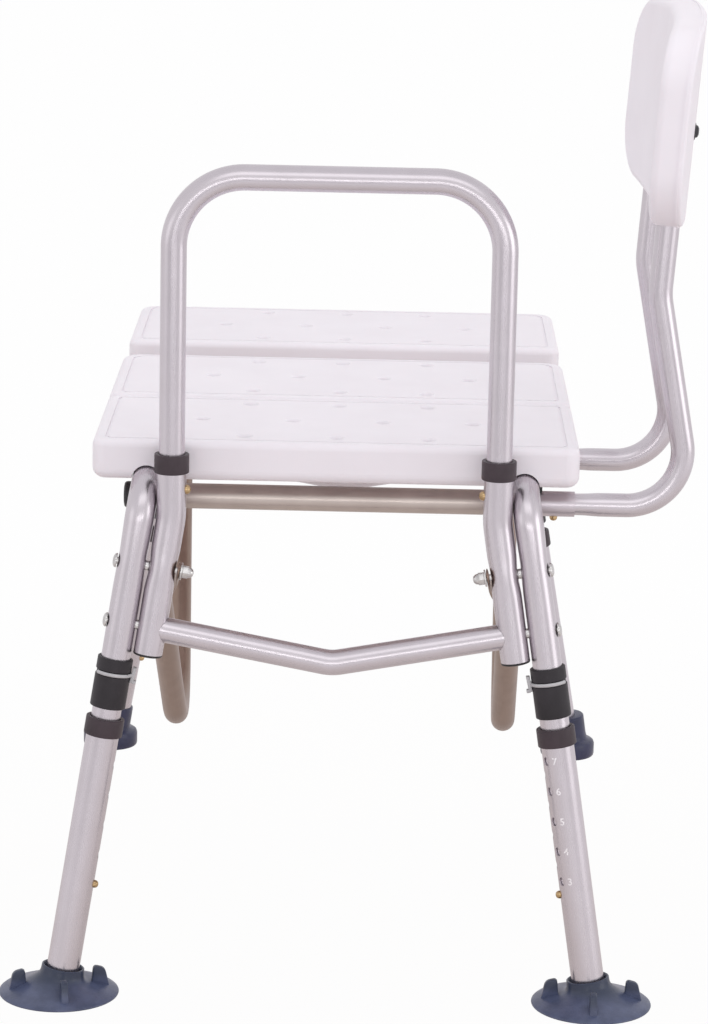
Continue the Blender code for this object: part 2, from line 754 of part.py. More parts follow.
def suction_cup(side):
    end = "arm"
    rim = CUP_DIAMETER / 2
    socket = SOCKET_DIAMETER / 2
    profile = [
        (0, CUP_HEIGHT + 0.002),
        (socket + 0.001, CUP_HEIGHT + 0.002),
        (CUP_SHOULDER / 2, CUP_HEIGHT - 0.0015),
        ((CUP_SHOULDER / 2 + rim) / 2, CUP_HEIGHT * 0.56),
        (rim - 0.0015, CUP_LIP + 0.0008),
        (rim, CUP_LIP),
        (rim, 0),
        (rim - CUP_RIM_WIDTH, 0),
        (rim * 0.55, CUP_HOLLOW * 0.75),
        (0, CUP_HOLLOW),
    ]
    frame = leg_frame(end, side)
    body = turned(profile, floor_matrix(end, side), steps=24)
    cup = as_part(body, f"suction_cup_{side}", RUBBER)
    join(cup, cylinder(socket, CUP_HOLLOW + 0.003, CUP_SOCKET_TOP, frame, 20))
    for index in range(4):
        join(cup, pull_lug(floor_matrix(end, side) @ Matrix.Rotation(math.pi / 2 * index, 4, "Z")))
    return cut(cup, foot_bore(frame, CUP_SOCKET_TOP))


def pull_lug(matrix):
    low = CUP_HEIGHT * 0.30
    high = CUP_HEIGHT * 0.50 + LUG_HEIGHT
    half = LUG_LENGTH / 2
    side = [(LUG_RADIUS - half, low), (LUG_RADIUS + half, low), (LUG_RADIUS + half * 0.45, high)]
    side += [(LUG_RADIUS - half * 0.75, high)]
    stand = matrix @ Matrix.Rotation(math.pi / 2, 4, "X")
    return outline_solid([side], LUG_THICKNESS / 2, stand)


def foot_bore(frame, top):
    radius = LOWER_LEG_DIAMETER / 2 + GAP
    return as_cutter(cylinder(radius, LEG_SEAT - GAP, top + 0.01, frame, 20), "foot_bore")


def rubber_boot(side):
    end = "far"
    base = BOOT_DIAMETER / 2
    socket = BOOT_SOCKET_DIAMETER / 2
    profile = [
        (0, BOOT_BASE + 0.003),
        (socket, BOOT_BASE + 0.003),
        (base - 0.003, BOOT_BASE - 0.002),
        (base, BOOT_BASE - 0.006),
        (base, 0.001),
        (base - 0.001, 0),
        (0, 0),
    ]
    frame = leg_frame(end, side)
    body = turned(profile, floor_matrix(end, side), steps=20)
    boot = as_part(body, f"rubber_boot_{side}", RUBBER)
    join(boot, cylinder(socket, 0.006, BOOT_SOCKET_TOP, frame, 20))
    return cut(boot, foot_bore(frame, BOOT_SOCKET_TOP))


def build_legs():
    for end in ENDS:
        for side in SIDES:
            lower_leg(end, side)
            leg_collars(end, side)
            frame = leg_frame(end, side) @ Matrix.Translation((0, 0, BUTTON_HEIGHT))
            bore = FRAME_RADIUS - FRAME_WALL
            name = f"leg_button_{end}_{side}"
            snap_button(name, frame, bore, LOWER_LEG_DIAMETER / 2, BUTTON_DIAMETER, flip=True)
    for side in SIDES:
        suction_cup(side)
        rubber_boot(side)


# Arm rail and the receivers that it drops into
def receiver_path(side):
    sign = SIDES[side]
    top = Vector((ARM_X, sign * ARM_SPAN / 2, RECEIVER_TOP_Z))
    knee = Vector((ARM_X, sign * ARM_SPAN / 2, RECEIVER_Z_BEND))
    down = -leg_up("arm", side)
    length = (RECEIVER_Z_BEND - RECEIVER_BOTTOM_Z) / -down.z
    return top, knee, knee + down * length


def arm_receiver(side):
    points = rounded(receiver_path(side), [RECEIVER_BEND])
    made = as_part(tube(points, RECEIVER_RADIUS), f"arm_receiver_{side}", SILVER)
    bored(made, points, RECEIVER_RADIUS, RECEIVER_WALL)
    cut(made, button_hole(arm_button_frame(side), ARM_BUTTON_DIAMETER / 2, ARM_DIAMETER))
    return cut(made, bolt_hole("arm", side, UPPER_BOLT_Z), bolt_hole("arm", side, LOWER_BOLT_Z))


def arm_button_frame(side):
    return axis_matrix((ARM_X, SIDES[side] * ARM_SPAN / 2, ARM_BUTTON_Z), (0, 0, 1), (0, -SIDES[side], 0))


def receiver_plug(side):
    _, knee, end = receiver_path(side)
    matrix = axis_matrix(end, end - knee, (1, 0, 0))
    bore = (RECEIVER_RADIUS - RECEIVER_WALL) * math.cos(math.pi / TUBE_SIDES) - GAP
    profile = [
        (0, 0.0022),
        (RECEIVER_RADIUS, 0.0022),
        (RECEIVER_RADIUS, GAP),
        (bore, GAP),
        (bore, -0.010),
        (0, -0.010),
    ]
    return as_part(turned(profile, matrix), f"receiver_plug_{side}", BLACK)


def arm_rail():
    half = ARM_SPAN / 2
    low = ARM_BUTTON_Z - ARM_END_BELOW_BUTTON
    corners = [(ARM_X, -half, low), (ARM_X, -half, ARM_TOP_Z), (ARM_X, half, ARM_TOP_Z), (ARM_X, half, low)]
    points = rounded(corners, [ARM_BEND, ARM_BEND])
    foot = Vector((ARM_X, 0, low))
    rail = as_part(tube(points, ARM_DIAMETER / 2), "arm_rail", SILVER, origin=foot)
    bored(rail, points, ARM_DIAMETER / 2, ARM_WALL, INNER_RING_STEPS)
    for side in SIDES:
        frame = arm_button_frame(side)
        cut(rail, button_hole(frame, ARM_BUTTON_DIAMETER / 2, ARM_DIAMETER))
        bore = ARM_DIAMETER / 2 - ARM_WALL
        name = f"arm_button_{side}"
        snap_button(name, frame, bore, RECEIVER_RADIUS, ARM_BUTTON_DIAMETER, flip=False)
    return rail


def arm_collar(side):
    top = RECEIVER_TOP_Z + GAP + COLLAR_LIP
    place = Matrix.Translation((ARM_X, SIDES[side] * ARM_SPAN / 2, top - ARM_COLLAR_HEIGHT))
    inner = RECEIVER_RADIUS + GAP
    lip_inner = ARM_DIAMETER / 2 + GAP
    outer = ARM_COLLAR_DIAMETER / 2
    return sleeve(f"arm_collar_{side}", GREY, place, outer, ARM_COLLAR_HEIGHT, inner, lip_inner, COLLAR_LIP)


# Bolts, in frames whose Z runs inboard from the leg's axis
def bolt_hole(end, side, z):
    radius = BOLT_DIAMETER / 2 + HOLE_GAP
    matrix = bolt_frame(end, side, z)
    reach = inboard_face(end) + BOLT_IN_BRACE + 0.004
    return as_cutter(cylinder(radius, -0.03, reach, matrix, 8), "bolt_hole")


def inboard_face(end):
    face = FRAME_RADIUS + GAP
    if end == "arm":
        face += RECEIVER_GAP + RECEIVER_DIAMETER
    return face


def bolt_head():
    outer = -FRAME_RADIUS - GAP
    radius = BOLT_HEAD_DIAMETER / 2
    shank = BOLT_DIAMETER / 2
    return [
        (shank, outer),
        (radius, outer),
        (radius, outer - BOLT_HEAD_HEIGHT * 0.35),
        (radius * 0.6, outer - BOLT_HEAD_HEIGHT * 0.85),
        (0, outer - BOLT_HEAD_HEIGHT),
    ]


def through_bolt(end, side):
    matrix = bolt_frame(end, side, UPPER_BOLT_Z)
    washer = inboard_face(end) + TAB_THICKNESS + GAP
    nut = washer + WASHER_HEIGHT
    top = nut + NUT_HEIGHT
    dome = NUT_ACROSS_CORNERS * 0.40
    profile = [
        (0, top + NUT_DOME),
        (dome * 0.6, top + NUT_DOME * 0.8),
        (dome, top),
        (dome, nut),
        (WASHER_DIAMETER / 2, nut),
        (WASHER_DIAMETER / 2, washer),
        (BOLT_DIAMETER / 2, washer),
    ]
    bolt = as_part(turned(profile + bolt_head(), matrix, steps=10), f"upper_bolt_{end}_{side}", STEEL)
    return join(bolt, cylinder(NUT_ACROSS_CORNERS / 2, nut - GAP, top, matrix, 6))


def brace_bolt(end, side):
    matrix = bolt_frame(end, side, LOWER_BOLT_Z)
    tip = inboard_face(end) + BOLT_IN_BRACE
    profile = [(0, tip), (BOLT_DIAMETER / 2 - 0.0008, tip), (BOLT_DIAMETER / 2, tip - 0.0008)]
    return as_part(turned(profile + bolt_head(), matrix, steps=10), f"lower_bolt_{end}_{side}", STEEL)


# Braces
def end_brace(end):
    radius = RECEIVER_RADIUS if end == "arm" else FRAME_RADIUS
    starts = {}
    for side in SIDES:
        frame = bolt_frame(end, side, LOWER_BOLT_Z)
        starts[side] = frame @ Vector((0, 0, inboard_face(end) - radius - GAP))
    first, last = starts["front"], starts["rear"]
    middle = Vector((first.x, 0, END_BRACE_CORNER_Z))
    points = rounded([first, middle, last], [END_BRACE_BEND])
    brace = as_part(tube(points, BRACE_DIAMETER / 2), f"end_brace_{end}", SILVER)
    for side in SIDES:
        up = leg_up(end, side)
        seat = axis_matrix(starts[side], up, (1, 0, 0))
        cut(brace, as_cutter(cylinder(radius + GAP, -0.05, 0.05, seat, 24), "cope"))
        cut(brace, bolt_hole(end, side, LOWER_BOLT_Z))
    return brace


def tab_point(end, side):
    """The tongue's middle at the bolt, the start of the tube's own axis beside it, and the bolt's frame."""
    frame = bolt_frame(end, side, UPPER_BOLT_Z)
    height = inboard_face(end) + TAB_THICKNESS / 2
    return frame @ Vector((0, 0, height)), frame @ Vector((0, 0, height - TAB_SET_IN[end])), frame


def long_brace(side):
    near, near_axis, near_frame = tab_point("arm", side)
    far, far_axis, far_frame = tab_point("far", side)
    bottom = Vector((0, SIDES[side] * LONG_BRACE_Y + LONG_BRACE_SWAY, LONG_BRACE_CORNER_Z))
    start = near_axis + (near_axis - bottom).normalized() * TAB_BEYOND_BOLT
    finish = far_axis + (far_axis - bottom).normalized() * TAB_BEYOND_BOLT
    points = rounded([start, bottom, finish], [LONG_BRACE_BEND])
    near_steps = tab_steps(points[0], points[1])
    far_steps = tab_steps(points[-1], points[-2])
    points = [points[0], *near_steps, *points[1:-1], *reversed(far_steps), points[-1]]
    brace = tube(points, BRACE_DIAMETER / 2)
    flatten_end(brace.data, near, near_axis, near_frame, bottom)
    flatten_end(brace.data, far, far_axis, far_frame, bottom)
    part = as_part(brace, f"long_brace_{side}", SILVER)
    return cut(part, bolt_hole("arm", side, UPPER_BOLT_Z), bolt_hole("far", side, UPPER_BOLT_Z))


def tab_steps(start, towards):
    direction = (towards - start).normalized()
    tip = [TAB_BEYOND_BOLT * share for share in (0.15, 0.45, 1.0)]
    first = TAB_BEYOND_BOLT + TAB_LENGTH
    steps = tip + [first + TAB_BLEND * step / 5 for step in range(6)]
    return [start + direction * step for step in steps]


def flatten_end(mesh, bolt, axis, frame, bottom):
    """Press the tube into a round-tipped tongue at the bolt, easing back to round on its own axis."""
    normal = frame.to_3x3() @ Vector((0, 0, 1))
    along = bottom - axis
    slope = along.dot(normal)
    along -= normal * slope
    slope /= along.length
    along.normalize()
    across = normal.cross(along)
    squash = TAB_THICKNESS / BRACE_DIAMETER
    narrow = TAB_WIDTH / BRACE_DIAMETER
    for vert in mesh.vertices:
        offset = vert.co - bolt
        reach = offset.dot(along)
        blend = min(1.0, max(0.0, (reach - TAB_LENGTH) / TAB_BLEND))
        if blend >= 1.0 or offset.length > TAB_LENGTH + 2 * TAB_BLEND:
            continue
        ease = blend * blend * (3 - 2 * blend)
        axis_height = (axis - bolt).dot(normal) + slope * reach
        height = offset.dot(normal) - axis_height
        new_height = axis_height * ease + height * (squash + (1 - squash) * ease)
        width = narrow + (1 - narrow) * ease + TAB_BULGE * 4 * blend * (1 - blend)
        tip = min(0.0, reach / TAB_BEYOND_BOLT)
        width *= math.sqrt(max(0.06, 1 - tip * tip))
        vert.co += normal * (new_height - offset.dot(normal)) + across * offset.dot(across) * (width - 1)


# Backrest
def back_button_frame(x):
    y = CROSS_REAR_Y - 0.018
    return axis_matrix((x, y, CROSS_Z), (0, -1, 0), (0, 0, -1))


def back_path(x):
    top_z = BACK_BOTTOM_Z + BACK_POCKET
    top_y = BACK_WAIST_Y + BACK_LEAN * (top_z - BACK_WAIST_Z)
    return [
        Vector((x, CROSS_REAR_Y - BACK_INSERTION, CROSS_Z)),
        Vector((x, BACK_KNEE_Y, CROSS_Z)),
        Vector((x, BACK_WAIST_Y, BACK_WAIST_Z)),
        Vector((x, top_y, top_z)),
    ]


def back_tube(name, x):
    points = rounded(back_path(x), [BACK_KNEE_BEND, BACK_WAIST_BEND])
    swage_end = Vector((x, CROSS_REAR_Y + GAP + 0.004, CROSS_Z))
    full_size = swage_end + Vector((0, SWAGE_LENGTH, 0))
    points = [points[0], swage_end, full_size, *points[1:]]
    small = SWAGE_DIAMETER / BACK_TUBE_DIAMETER
    scales = [small, small] + [1.0] * (len(points) - 2)
    made = as_part(tube(points, BACK_TUBE_DIAMETER / 2, scales), name, SILVER, origin=points[0])
    bore_radius = SWAGE_DIAMETER / 2 - BACK_TUBE_WALL
    into = axis_matrix(points[0], (0, 1, 0), (1, 0, 0))
    cut(made, as_cutter(cylinder(bore_radius, -0.005, BACK_INSERTION, into, TUBE_SIDES), "back_bore"))
    cut(made, button_hole(back_button_frame(x), BUTTON_DIAMETER / 2, CROSS_DIAMETER))
    return cut(made, back_screw_hole(x))


def back_frame(x):
    """Frame on the backrest's leaning plane: X along the bench, Y up the panel, Z to the rear."""
    y = BACK_WAIST_Y + BACK_LEAN * (BACK_BOTTOM_Z - BACK_WAIST_Z)
    return axis_matrix((x, y, BACK_BOTTOM_Z), (0, 1, -BACK_LEAN), (-1, 0, 0))


def back_screw_hole(x):
    place = back_frame(x) @ Matrix.Translation((0, BACK_SCREW_UP, 0))
    return as_cutter(cylinder(BACK_SCREW_HOLE / 2, 0, BACK_THICKNESS, place, 8), "screw_hole")


def curve_drop(offset):
    return BACK_CURVE_RADIUS - math.sqrt(BACK_CURVE_RADIUS**2 - offset**2)


def back_outline():
    half = BACK_WIDTH / 2
    half_height = BACK_HEIGHT / 2
    points = []
    for sx, sy, first in ((1, 1, 0), (-1, 1, 90), (-1, -1, 180), (1, -1, 270)):
        arch = BACK_ARCH_TOP if sy > 0 else BACK_ARCH_BOTTOM
        for step in range(6):
            angle = math.radians(first + 90 * step / 5)
            x = sx * (half - BACK_CORNER) + BACK_CORNER * math.cos(angle)
            y = sy * (half_height - BACK_CORNER) + BACK_CORNER * math.sin(angle)
            points.append((x, half_height + y - y / half_height * arch * (x / half) ** 2))
        if sx * sy > 0:
            for share in (0.42, 0.0, -0.42):
                x = sx * half * share
                points.append((x, half_height + sy * (half_height - arch * share**2)))
    return points


def back_panel():
    frame = back_frame(BACK_CENTRE_X)
    prism = outline_solid([back_outline()], 0.06, frame)
    panel = as_part(prism, "backrest_panel", WHITE, smooth=False, origin=frame.translation)
    boolean(panel, as_cutter(curved_slab(), "curved_slab"), "INTERSECT")
    rim = panel.modifiers.new("rim", "BEVEL")
    rim.limit_method = "ANGLE"
    rim.angle_limit = math.radians(45)
    rim.width = BACK_EDGE_ROUND
    rim.segments = 2
    for x in BACK_TUBE_XS:
        pocket_matrix = back_frame(x) @ Matrix.Rotation(-math.pi / 2, 4, "X")
        radius = (BACK_TUBE_DIAMETER / 2 + GAP) / math.cos(math.pi / 24)
        cut(panel, as_cutter(cylinder(radius, -0.03, BACK_POCKET * 1.01, pocket_matrix, 24), "pocket"))
        cut(panel, back_screw_hole(x))
    return panel


def curved_slab():
    """A vertical band, bent about the panel's middle so that its ends come forward."""
    frame = back_frame(BACK_CENTRE_X)
    seat = curve_drop(BACK_TUBE_SPACING / 2)
    steps = 12
    offsets = [BACK_WIDTH * 0.55 * (2 * step / steps - 1) for step in range(steps + 1)]
    rear = [(x, seat - curve_drop(x) + BACK_THICKNESS / 2) for x in offsets]
    front = [(x, y - BACK_THICKNESS) for x, y in reversed(rear)]
    stand = frame @ Matrix.Translation((0, BACK_HEIGHT / 2, 0)) @ Matrix.Rotation(math.pi / 2, 4, "X")
    return outline_solid([rear + front], BACK_HEIGHT, stand)


def build_backrest():
    back_panel()
    for label, x in zip(("arm_side", "far_side"), BACK_TUBE_XS):
        back_tube(f"backrest_tube_{label}", x)
        bore = SWAGE_DIAMETER / 2 - BACK_TUBE_WALL
        name = f"backrest_button_{label}"
        snap_button(name, back_button_frame(x), bore, CROSS_RADIUS, BUTTON_DIAMETER, flip=True)


def build_frame():
    for side in SIDES:
        frame_side(side)
        long_brace(side)
        arm_receiver(side)
        receiver_plug(side)
        arm_collar(side)
        for end in ENDS:
            through_bolt(end, side)
            brace_bolt(end, side)
    for end in ENDS:
        end_brace(end)
    for label, x in zip(("arm_side", "far_side"), BACK_TUBE_XS):
        cross_tube(f"cross_tube_{label}", x)
        cross_plug(f"cross_tube_plug_{label}", x)
    arm_rail()


# The origin is on the floor, at the middle of the whole bench's plan
def centre_on_floor():
    foot = leg_point("arm", "rear", 0.0)
    middle_x = (CUP_DIAMETER - BOOT_DIAMETER) / 4
    front_y = -foot.y - CUP_DIAMETER / 2
    back = rounded(back_path(BACK_CENTRE_X), [BACK_KNEE_BEND, BACK_WAIST_BEND])
    rear_y = max(point.y for point in back) + BACK_TUBE_DIAMETER / 2
    shift = Vector((-middle_x, -(front_y + rear_y) / 2, 0))
    for group in (PARTS, CUTTERS):
        for obj in group.objects:
            obj.location += shift


build_seat()
build_frame()
build_legs()
build_backrest()
centre_on_floor()
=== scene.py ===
import math

import bmesh
import bpy
from mathutils import Matrix, Vector


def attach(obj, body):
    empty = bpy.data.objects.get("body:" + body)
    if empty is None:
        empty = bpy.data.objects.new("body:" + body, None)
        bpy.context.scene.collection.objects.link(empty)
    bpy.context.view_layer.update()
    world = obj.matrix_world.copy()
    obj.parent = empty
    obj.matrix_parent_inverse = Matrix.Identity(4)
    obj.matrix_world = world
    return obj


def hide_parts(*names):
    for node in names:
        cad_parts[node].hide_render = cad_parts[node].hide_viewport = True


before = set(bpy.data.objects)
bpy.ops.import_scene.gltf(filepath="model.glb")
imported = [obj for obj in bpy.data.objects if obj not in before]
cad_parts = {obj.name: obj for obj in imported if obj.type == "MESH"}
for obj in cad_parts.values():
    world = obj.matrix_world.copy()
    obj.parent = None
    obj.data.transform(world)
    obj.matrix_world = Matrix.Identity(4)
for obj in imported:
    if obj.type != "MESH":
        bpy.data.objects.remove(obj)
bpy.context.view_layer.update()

# Seat panels: three blow-moulded polyethylene slabs that lie over the two rails. Each has a rounded rim,
# a shallow line pressed round its top, tapered drain holes, a belly below and a slot for each rail.
SEAT_TOP = 0.485
SEAT_THICK = 0.035
SEAT_HALF_WIDTH = 0.2105
TOP_RIM = 0.006
LOWER_RIM = 0.0095
RAIL_Y = 0.163
RAIL_Z = 0.450
RAIL_SLOT = 0.0134
PANEL_LENGTH = 0.1972
PANEL_MIDDLES = {"arm_end": 0.2314, "middle": 0.0318, "far_end": -0.2314}
PANEL_CORNERS = {"arm_end": (0.012, 0.010), "middle": (0.010, 0.019), "far_end": (0.010, 0.019)}
LINE_INSETS = (0.0105, 0.0128)
LINE_DEPTH = 0.0013
DRAIN_ROWS = {-1: 3, 0: 4, 1: 3}
DRAIN_ROWS_APART = 0.069
DRAINS_APART = 0.0798
BELLY_BOTTOM = 0.4373
BELLY_TOP = 0.4540
BELLY_HALF_WIDTH = 0.090
BELLY_ENDS = {"arm_end": 0.0360, "middle": 0.0786, "far_end": 0.0786}


def new_group(name, place, scales):
    """A node group with an optional place and some scales as inputs. It gives a fine height and patches."""
    group = bpy.data.node_groups.new(name, "ShaderNodeTree")
    if place:
        group.interface.new_socket(place, in_out="INPUT", socket_type="NodeSocketVector")
    for label, value in scales.items():
        socket = group.interface.new_socket(label, in_out="INPUT", socket_type="NodeSocketFloat")
        socket.default_value = value
    for label in ("Height", "Patches"):
        group.interface.new_socket(label, in_out="OUTPUT", socket_type="NodeSocketFloat")
    return group, group.nodes.new("NodeGroupInput"), group.nodes.new("NodeGroupOutput")


def node(tree, kind, settings=None, **inputs):
    """A new node. Each named input is given a value, or another node's output to be linked to."""
    made = tree.nodes.new(kind)
    for key, value in (settings or {}).items():
        setattr(made, key, value)
    for key, value in inputs.items():
        socket = made.inputs[key.replace("_", " ")]
        if isinstance(value, bpy.types.NodeSocket):
            tree.links.new(value, socket)
        else:
            socket.default_value = value
    return made


def moulded_grain_group():
    group, source, sink = new_group("moulded_grain", "Vector", {"Fine": 900.0, "Broad": 14.0})
    for scale, detail, roughness, result in (("Fine", 3.0, 0.6, "Height"), ("Broad", 4.0, 0.55, "Patches")):
        noise = node(group, "ShaderNodeTexNoise", {"noise_dimensions": "3D"}, Detail=detail,
                     Roughness=roughness, Vector=source.outputs["Vector"], Scale=source.outputs[scale])
        group.links.new(noise.outputs["Fac"], sink.inputs[result])
    return group


MOULDED_GRAIN = moulded_grain_group()


def principled(name, colour, roughness, metallic=0.0):
    made = bpy.data.materials.new(name)
    made.use_nodes = True
    tree = made.node_tree
    shader = tree.nodes["Principled BSDF"]
    shader.inputs["Base Color"].default_value = (*colour, 1.0)
    shader.inputs["Roughness"].default_value = roughness
    shader.inputs["Metallic"].default_value = metallic
    return made, tree, shader


def blend_colours(tree, factor, low, high, start=0.35, end=0.65):
    ramp = tree.nodes.new("ShaderNodeValToRGB")
    ramp.color_ramp.elements[0].position = start
    ramp.color_ramp.elements[0].color = (*low, 1.0)
    ramp.color_ramp.elements[1].position = end
    ramp.color_ramp.elements[1].color = (*high, 1.0)
    tree.links.new(factor, ramp.inputs["Fac"])
    return ramp.outputs["Color"]


def spread(tree, factor, low, high):
    remap = node(tree, "ShaderNodeMapRange", Value=factor, From_Min=0.3, From_Max=0.7,
                 To_Min=low, To_Max=high)
    return remap.outputs["Result"]


def object_place(tree):
    return tree.nodes.new("ShaderNodeTexCoord").outputs["Object"]


def bumped(tree, shader, height, strength, depth):
    bump = node(tree, "ShaderNodeBump", Strength=strength, Distance=depth, Height=height)
    tree.links.new(bump.outputs["Normal"], shader.inputs["Normal"])


def toned(tree, shader, patches, tones, factor, roughness):
    """The patches set the colour between two tones, and the factor sets the roughness between two values."""
    tree.links.new(blend_colours(tree, patches, *tones), shader.inputs["Base Color"])
    tree.links.new(spread(tree, factor, *roughness), shader.inputs["Roughness"])


def grained(tree, shader, tones, roughness, fine, broad, strength, depth):
    """The moulded grain sets a material's colour, roughness and bump."""
    skin = node(tree, "ShaderNodeGroup", {"node_tree": MOULDED_GRAIN}, Vector=object_place(tree),
                Fine=fine, Broad=broad)
    patches = skin.outputs["Patches"]
    toned(tree, shader, patches, tones, patches, roughness)
    bumped(tree, shader, skin.outputs["Height"], strength, depth)


def moulded_plastic(name, colour, deep, roughness, grain, fine, broad=14.0, gloss=0.5):
    made, tree, shader = principled(name, colour, roughness)
    shader.inputs["Specular IOR Level"].default_value = gloss
    grained(tree, shader, (deep, colour), (roughness + 0.05, roughness - 0.04), fine, broad, grain, 0.0004)
    return made


WHITE_POLY = moulded_plastic("white_polyethylene", (0.885, 0.852, 0.885), (0.865, 0.830, 0.862),
                             0.42, 0.16, 1100.0)
white_shader = WHITE_POLY.node_tree.nodes["Principled BSDF"]
white_shader.inputs["Subsurface Weight"].default_value = 0.08
white_shader.inputs["Subsurface Radius"].default_value = (0.004, 0.003, 0.003)


def new_object(name, data):
    made = bpy.data.objects.new(name, data)
    bpy.context.scene.collection.objects.link(made)
    return made


def as_object(name, bm):
    mesh = bpy.data.meshes.new(name)
    bm.to_mesh(mesh)
    bm.free()
    return new_object(name, mesh)


def baked(made):
    """The object's mesh with its modifiers applied, as a bmesh. The object is removed."""
    graph = bpy.context.evaluated_depsgraph_get()
    mesh = bpy.data.meshes.new_from_object(made.evaluated_get(graph))
    bm = bmesh.new()
    bm.from_mesh(mesh)
    bpy.data.meshes.remove(mesh)
    bpy.data.objects.remove(made, do_unlink=True)
    return bm


def carved(bm, cutters, operation="DIFFERENCE"):
    target = as_object("target", bm)
    others = [as_object("other", cutter) for cutter in cutters]
    for other in others:
        modifier = target.modifiers.new("carve", "BOOLEAN")
        modifier.operation = operation
        modifier.solver = "EXACT"
        modifier.object = other
    result = baked(target)
    for other in others:
        bpy.data.objects.remove(other, do_unlink=True)
    return result


def moved(bm, matrix):
    bmesh.ops.transform(bm, matrix=matrix, verts=bm.verts)
    return bm


# Every piece is measured from the floor under the middle of the seat. This moves it to the frame's own
# origin, which lies under the middle of the whole bench.
BENCH_MIDDLE = Matrix.Translation((-0.0120, -0.0138226, 0.0))
SHARP_TURN = math.radians(32)
FLAT_AREA = 0.001


def flat_faces_kept(mesh):
    """Faces larger than FLAT_AREA keep their own flat normal."""
    for face in mesh.polygons:
        if face.area > FLAT_AREA:
            for loop in face.loop_indices:
                mesh.edges[mesh.loops[loop].edge_index].use_edge_sharp = True


def finish_piece(name, bm, material, body, nodes=()):
    """Gives a piece its material, the body that it rides on and the nodes that it stands for."""
    made = as_object(name, moved(bm, BENCH_MIDDLE))
    made.data.materials.clear()
    made.data.materials.append(material)
    for face in made.data.polygons:
        face.use_smooth = True
        face.material_index = 0
    made.data.set_sharp_from_angle(angle=SHARP_TURN)
    flat_faces_kept(made.data)
    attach(made, body)
    if nodes:
        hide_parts(*nodes)


def block(low, high):
    bm = bmesh.new()
    bmesh.ops.create_cube(bm, size=1.0)
    size = Vector(high) - Vector(low)
    return moved(bm, Matrix.Translation((Vector(high) + Vector(low)) / 2) @ Matrix.Diagonal((*size, 1.0)))


def rounded_edges(bm, edges, radius, segments):
    bmesh.ops.bevel(bm, geom=edges, offset=radius, segments=segments, profile=0.5, affect="EDGES",
                    material=-1, clamp_overlap=False)


def raised(matrix, height):
    return matrix @ Matrix.Translation((0, 0, height))


def rod(radius, low, high, matrix, sides=24):
    """A cylinder between two heights on the matrix's Z, which mostly serves as a cutter."""
    bm = bmesh.new()
    bmesh.ops.create_cone(bm, cap_ends=True, segments=sides, radius1=radius, radius2=radius,
                          depth=high - low, matrix=raised(matrix, (low + high) / 2))
    return bm


def together(*meshes):
    whole = meshes[0]
    for extra in meshes[1:]:
        mesh = bpy.data.meshes.new("extra")
        extra.to_mesh(mesh)
        extra.free()
        whole.from_mesh(mesh)
        bpy.data.meshes.remove(mesh)
    return whole


def everything(bm):
    return list(bm.verts) + list(bm.edges) + list(bm.faces)


def turned(profile, matrix, sides=40, closed=False):
    """A profile of (radius, height) points, spun about the matrix's Z."""
    bm = bmesh.new()
    verts = [bm.verts.new((radius, 0, height)) for radius, height in profile]
    chain = verts + verts[:1] if closed else verts
    for a, b in zip(chain, chain[1:]):
        bm.edges.new((a, b))
    bmesh.ops.spin(bm, geom=everything(bm), cent=(0, 0, 0), axis=(0, 0, 1), angle=math.tau, steps=sides,
                   use_merge=True)
    bmesh.ops.remove_doubles(bm, verts=bm.verts, dist=0.000005)
    bmesh.ops.recalc_face_normals(bm, faces=bm.faces)
    return moved(bm, matrix)


def upright_edges(bm):
    return [e for e in bm.edges if e.verts[0].co.xy == e.verts[1].co.xy]


def edges_at(bm, level):
    return [e for e in bm.edges if all(abs(v.co.z - level) < 1e-6 for v in e.verts)]


def rounded_corners(bm, near_corner, far_corner, segments):
    """Rounds a block's upright edges. The near corners are the two towards the arm rail."""
    for sign, radius in ((1, near_corner), (-1, far_corner)):
        edges = [e for e in upright_edges(bm) if e.verts[0].co.x * sign > 0]
        rounded_edges(bm, edges, radius, segments)


def slab(near_corner, far_corner):
    bottom = SEAT_TOP - SEAT_THICK
    bm = block((-PANEL_LENGTH / 2, -SEAT_HALF_WIDTH, bottom), (PANEL_LENGTH / 2, SEAT_HALF_WIDTH, SEAT_TOP))
    rounded_corners(bm, near_corner, far_corner, 8)
    for level, radius, segments in ((SEAT_TOP, TOP_RIM, 6), (bottom, LOWER_RIM, 7)):
        rounded_edges(bm, edges_at(bm, level), radius, segments)
    return bm


def pressed_line(near_corner, far_corner):
    """The cutter for the line round a panel's top, left over when one rounded block is cut from another."""
    rings = []
    for inset, above in zip(LINE_INSETS, (0.002, 0.004)):
        x = PANEL_LENGTH / 2 - inset
        y = SEAT_HALF_WIDTH - inset
        bm = block((-x, -y, SEAT_TOP - LINE_DEPTH), (x, y, SEAT_TOP + above))
        rounded_corners(bm, max(near_corner - inset / 2, 0.003), max(far_corner - inset / 2, 0.003), 5)
        rings.append(bm)
    low = min(v.co.z for v in rings[1].verts)
    for vert in rings[1].verts:
        if abs(vert.co.z - low) < 1e-6:
            vert.co.z -= 0.004
    return carved(rings[0], [rings[1]])


def drains():
    """The cutters for a panel's ten holes, wider at the top and tapering downwards."""
    profile = [(0, SEAT_TOP + 0.002), (0.0076, SEAT_TOP + 0.002), (0.0076, SEAT_TOP + 0.0001),
               (0.0069, SEAT_TOP - 0.0004), (0.0060, SEAT_TOP - 0.0013), (0.0052, SEAT_TOP - 0.0026),
               (0.0047, SEAT_TOP - 0.0050), (0.0044, SEAT_TOP - 0.060), (0, SEAT_TOP - 0.060)]
    holes = []
    for row, count in DRAIN_ROWS.items():
        for index in range(count):
            spot = (row * DRAIN_ROWS_APART, (index - (count - 1) / 2) * DRAINS_APART, 0)
            holes.append(turned(profile, Matrix.Translation(spot), 28))
    return together(*holes)


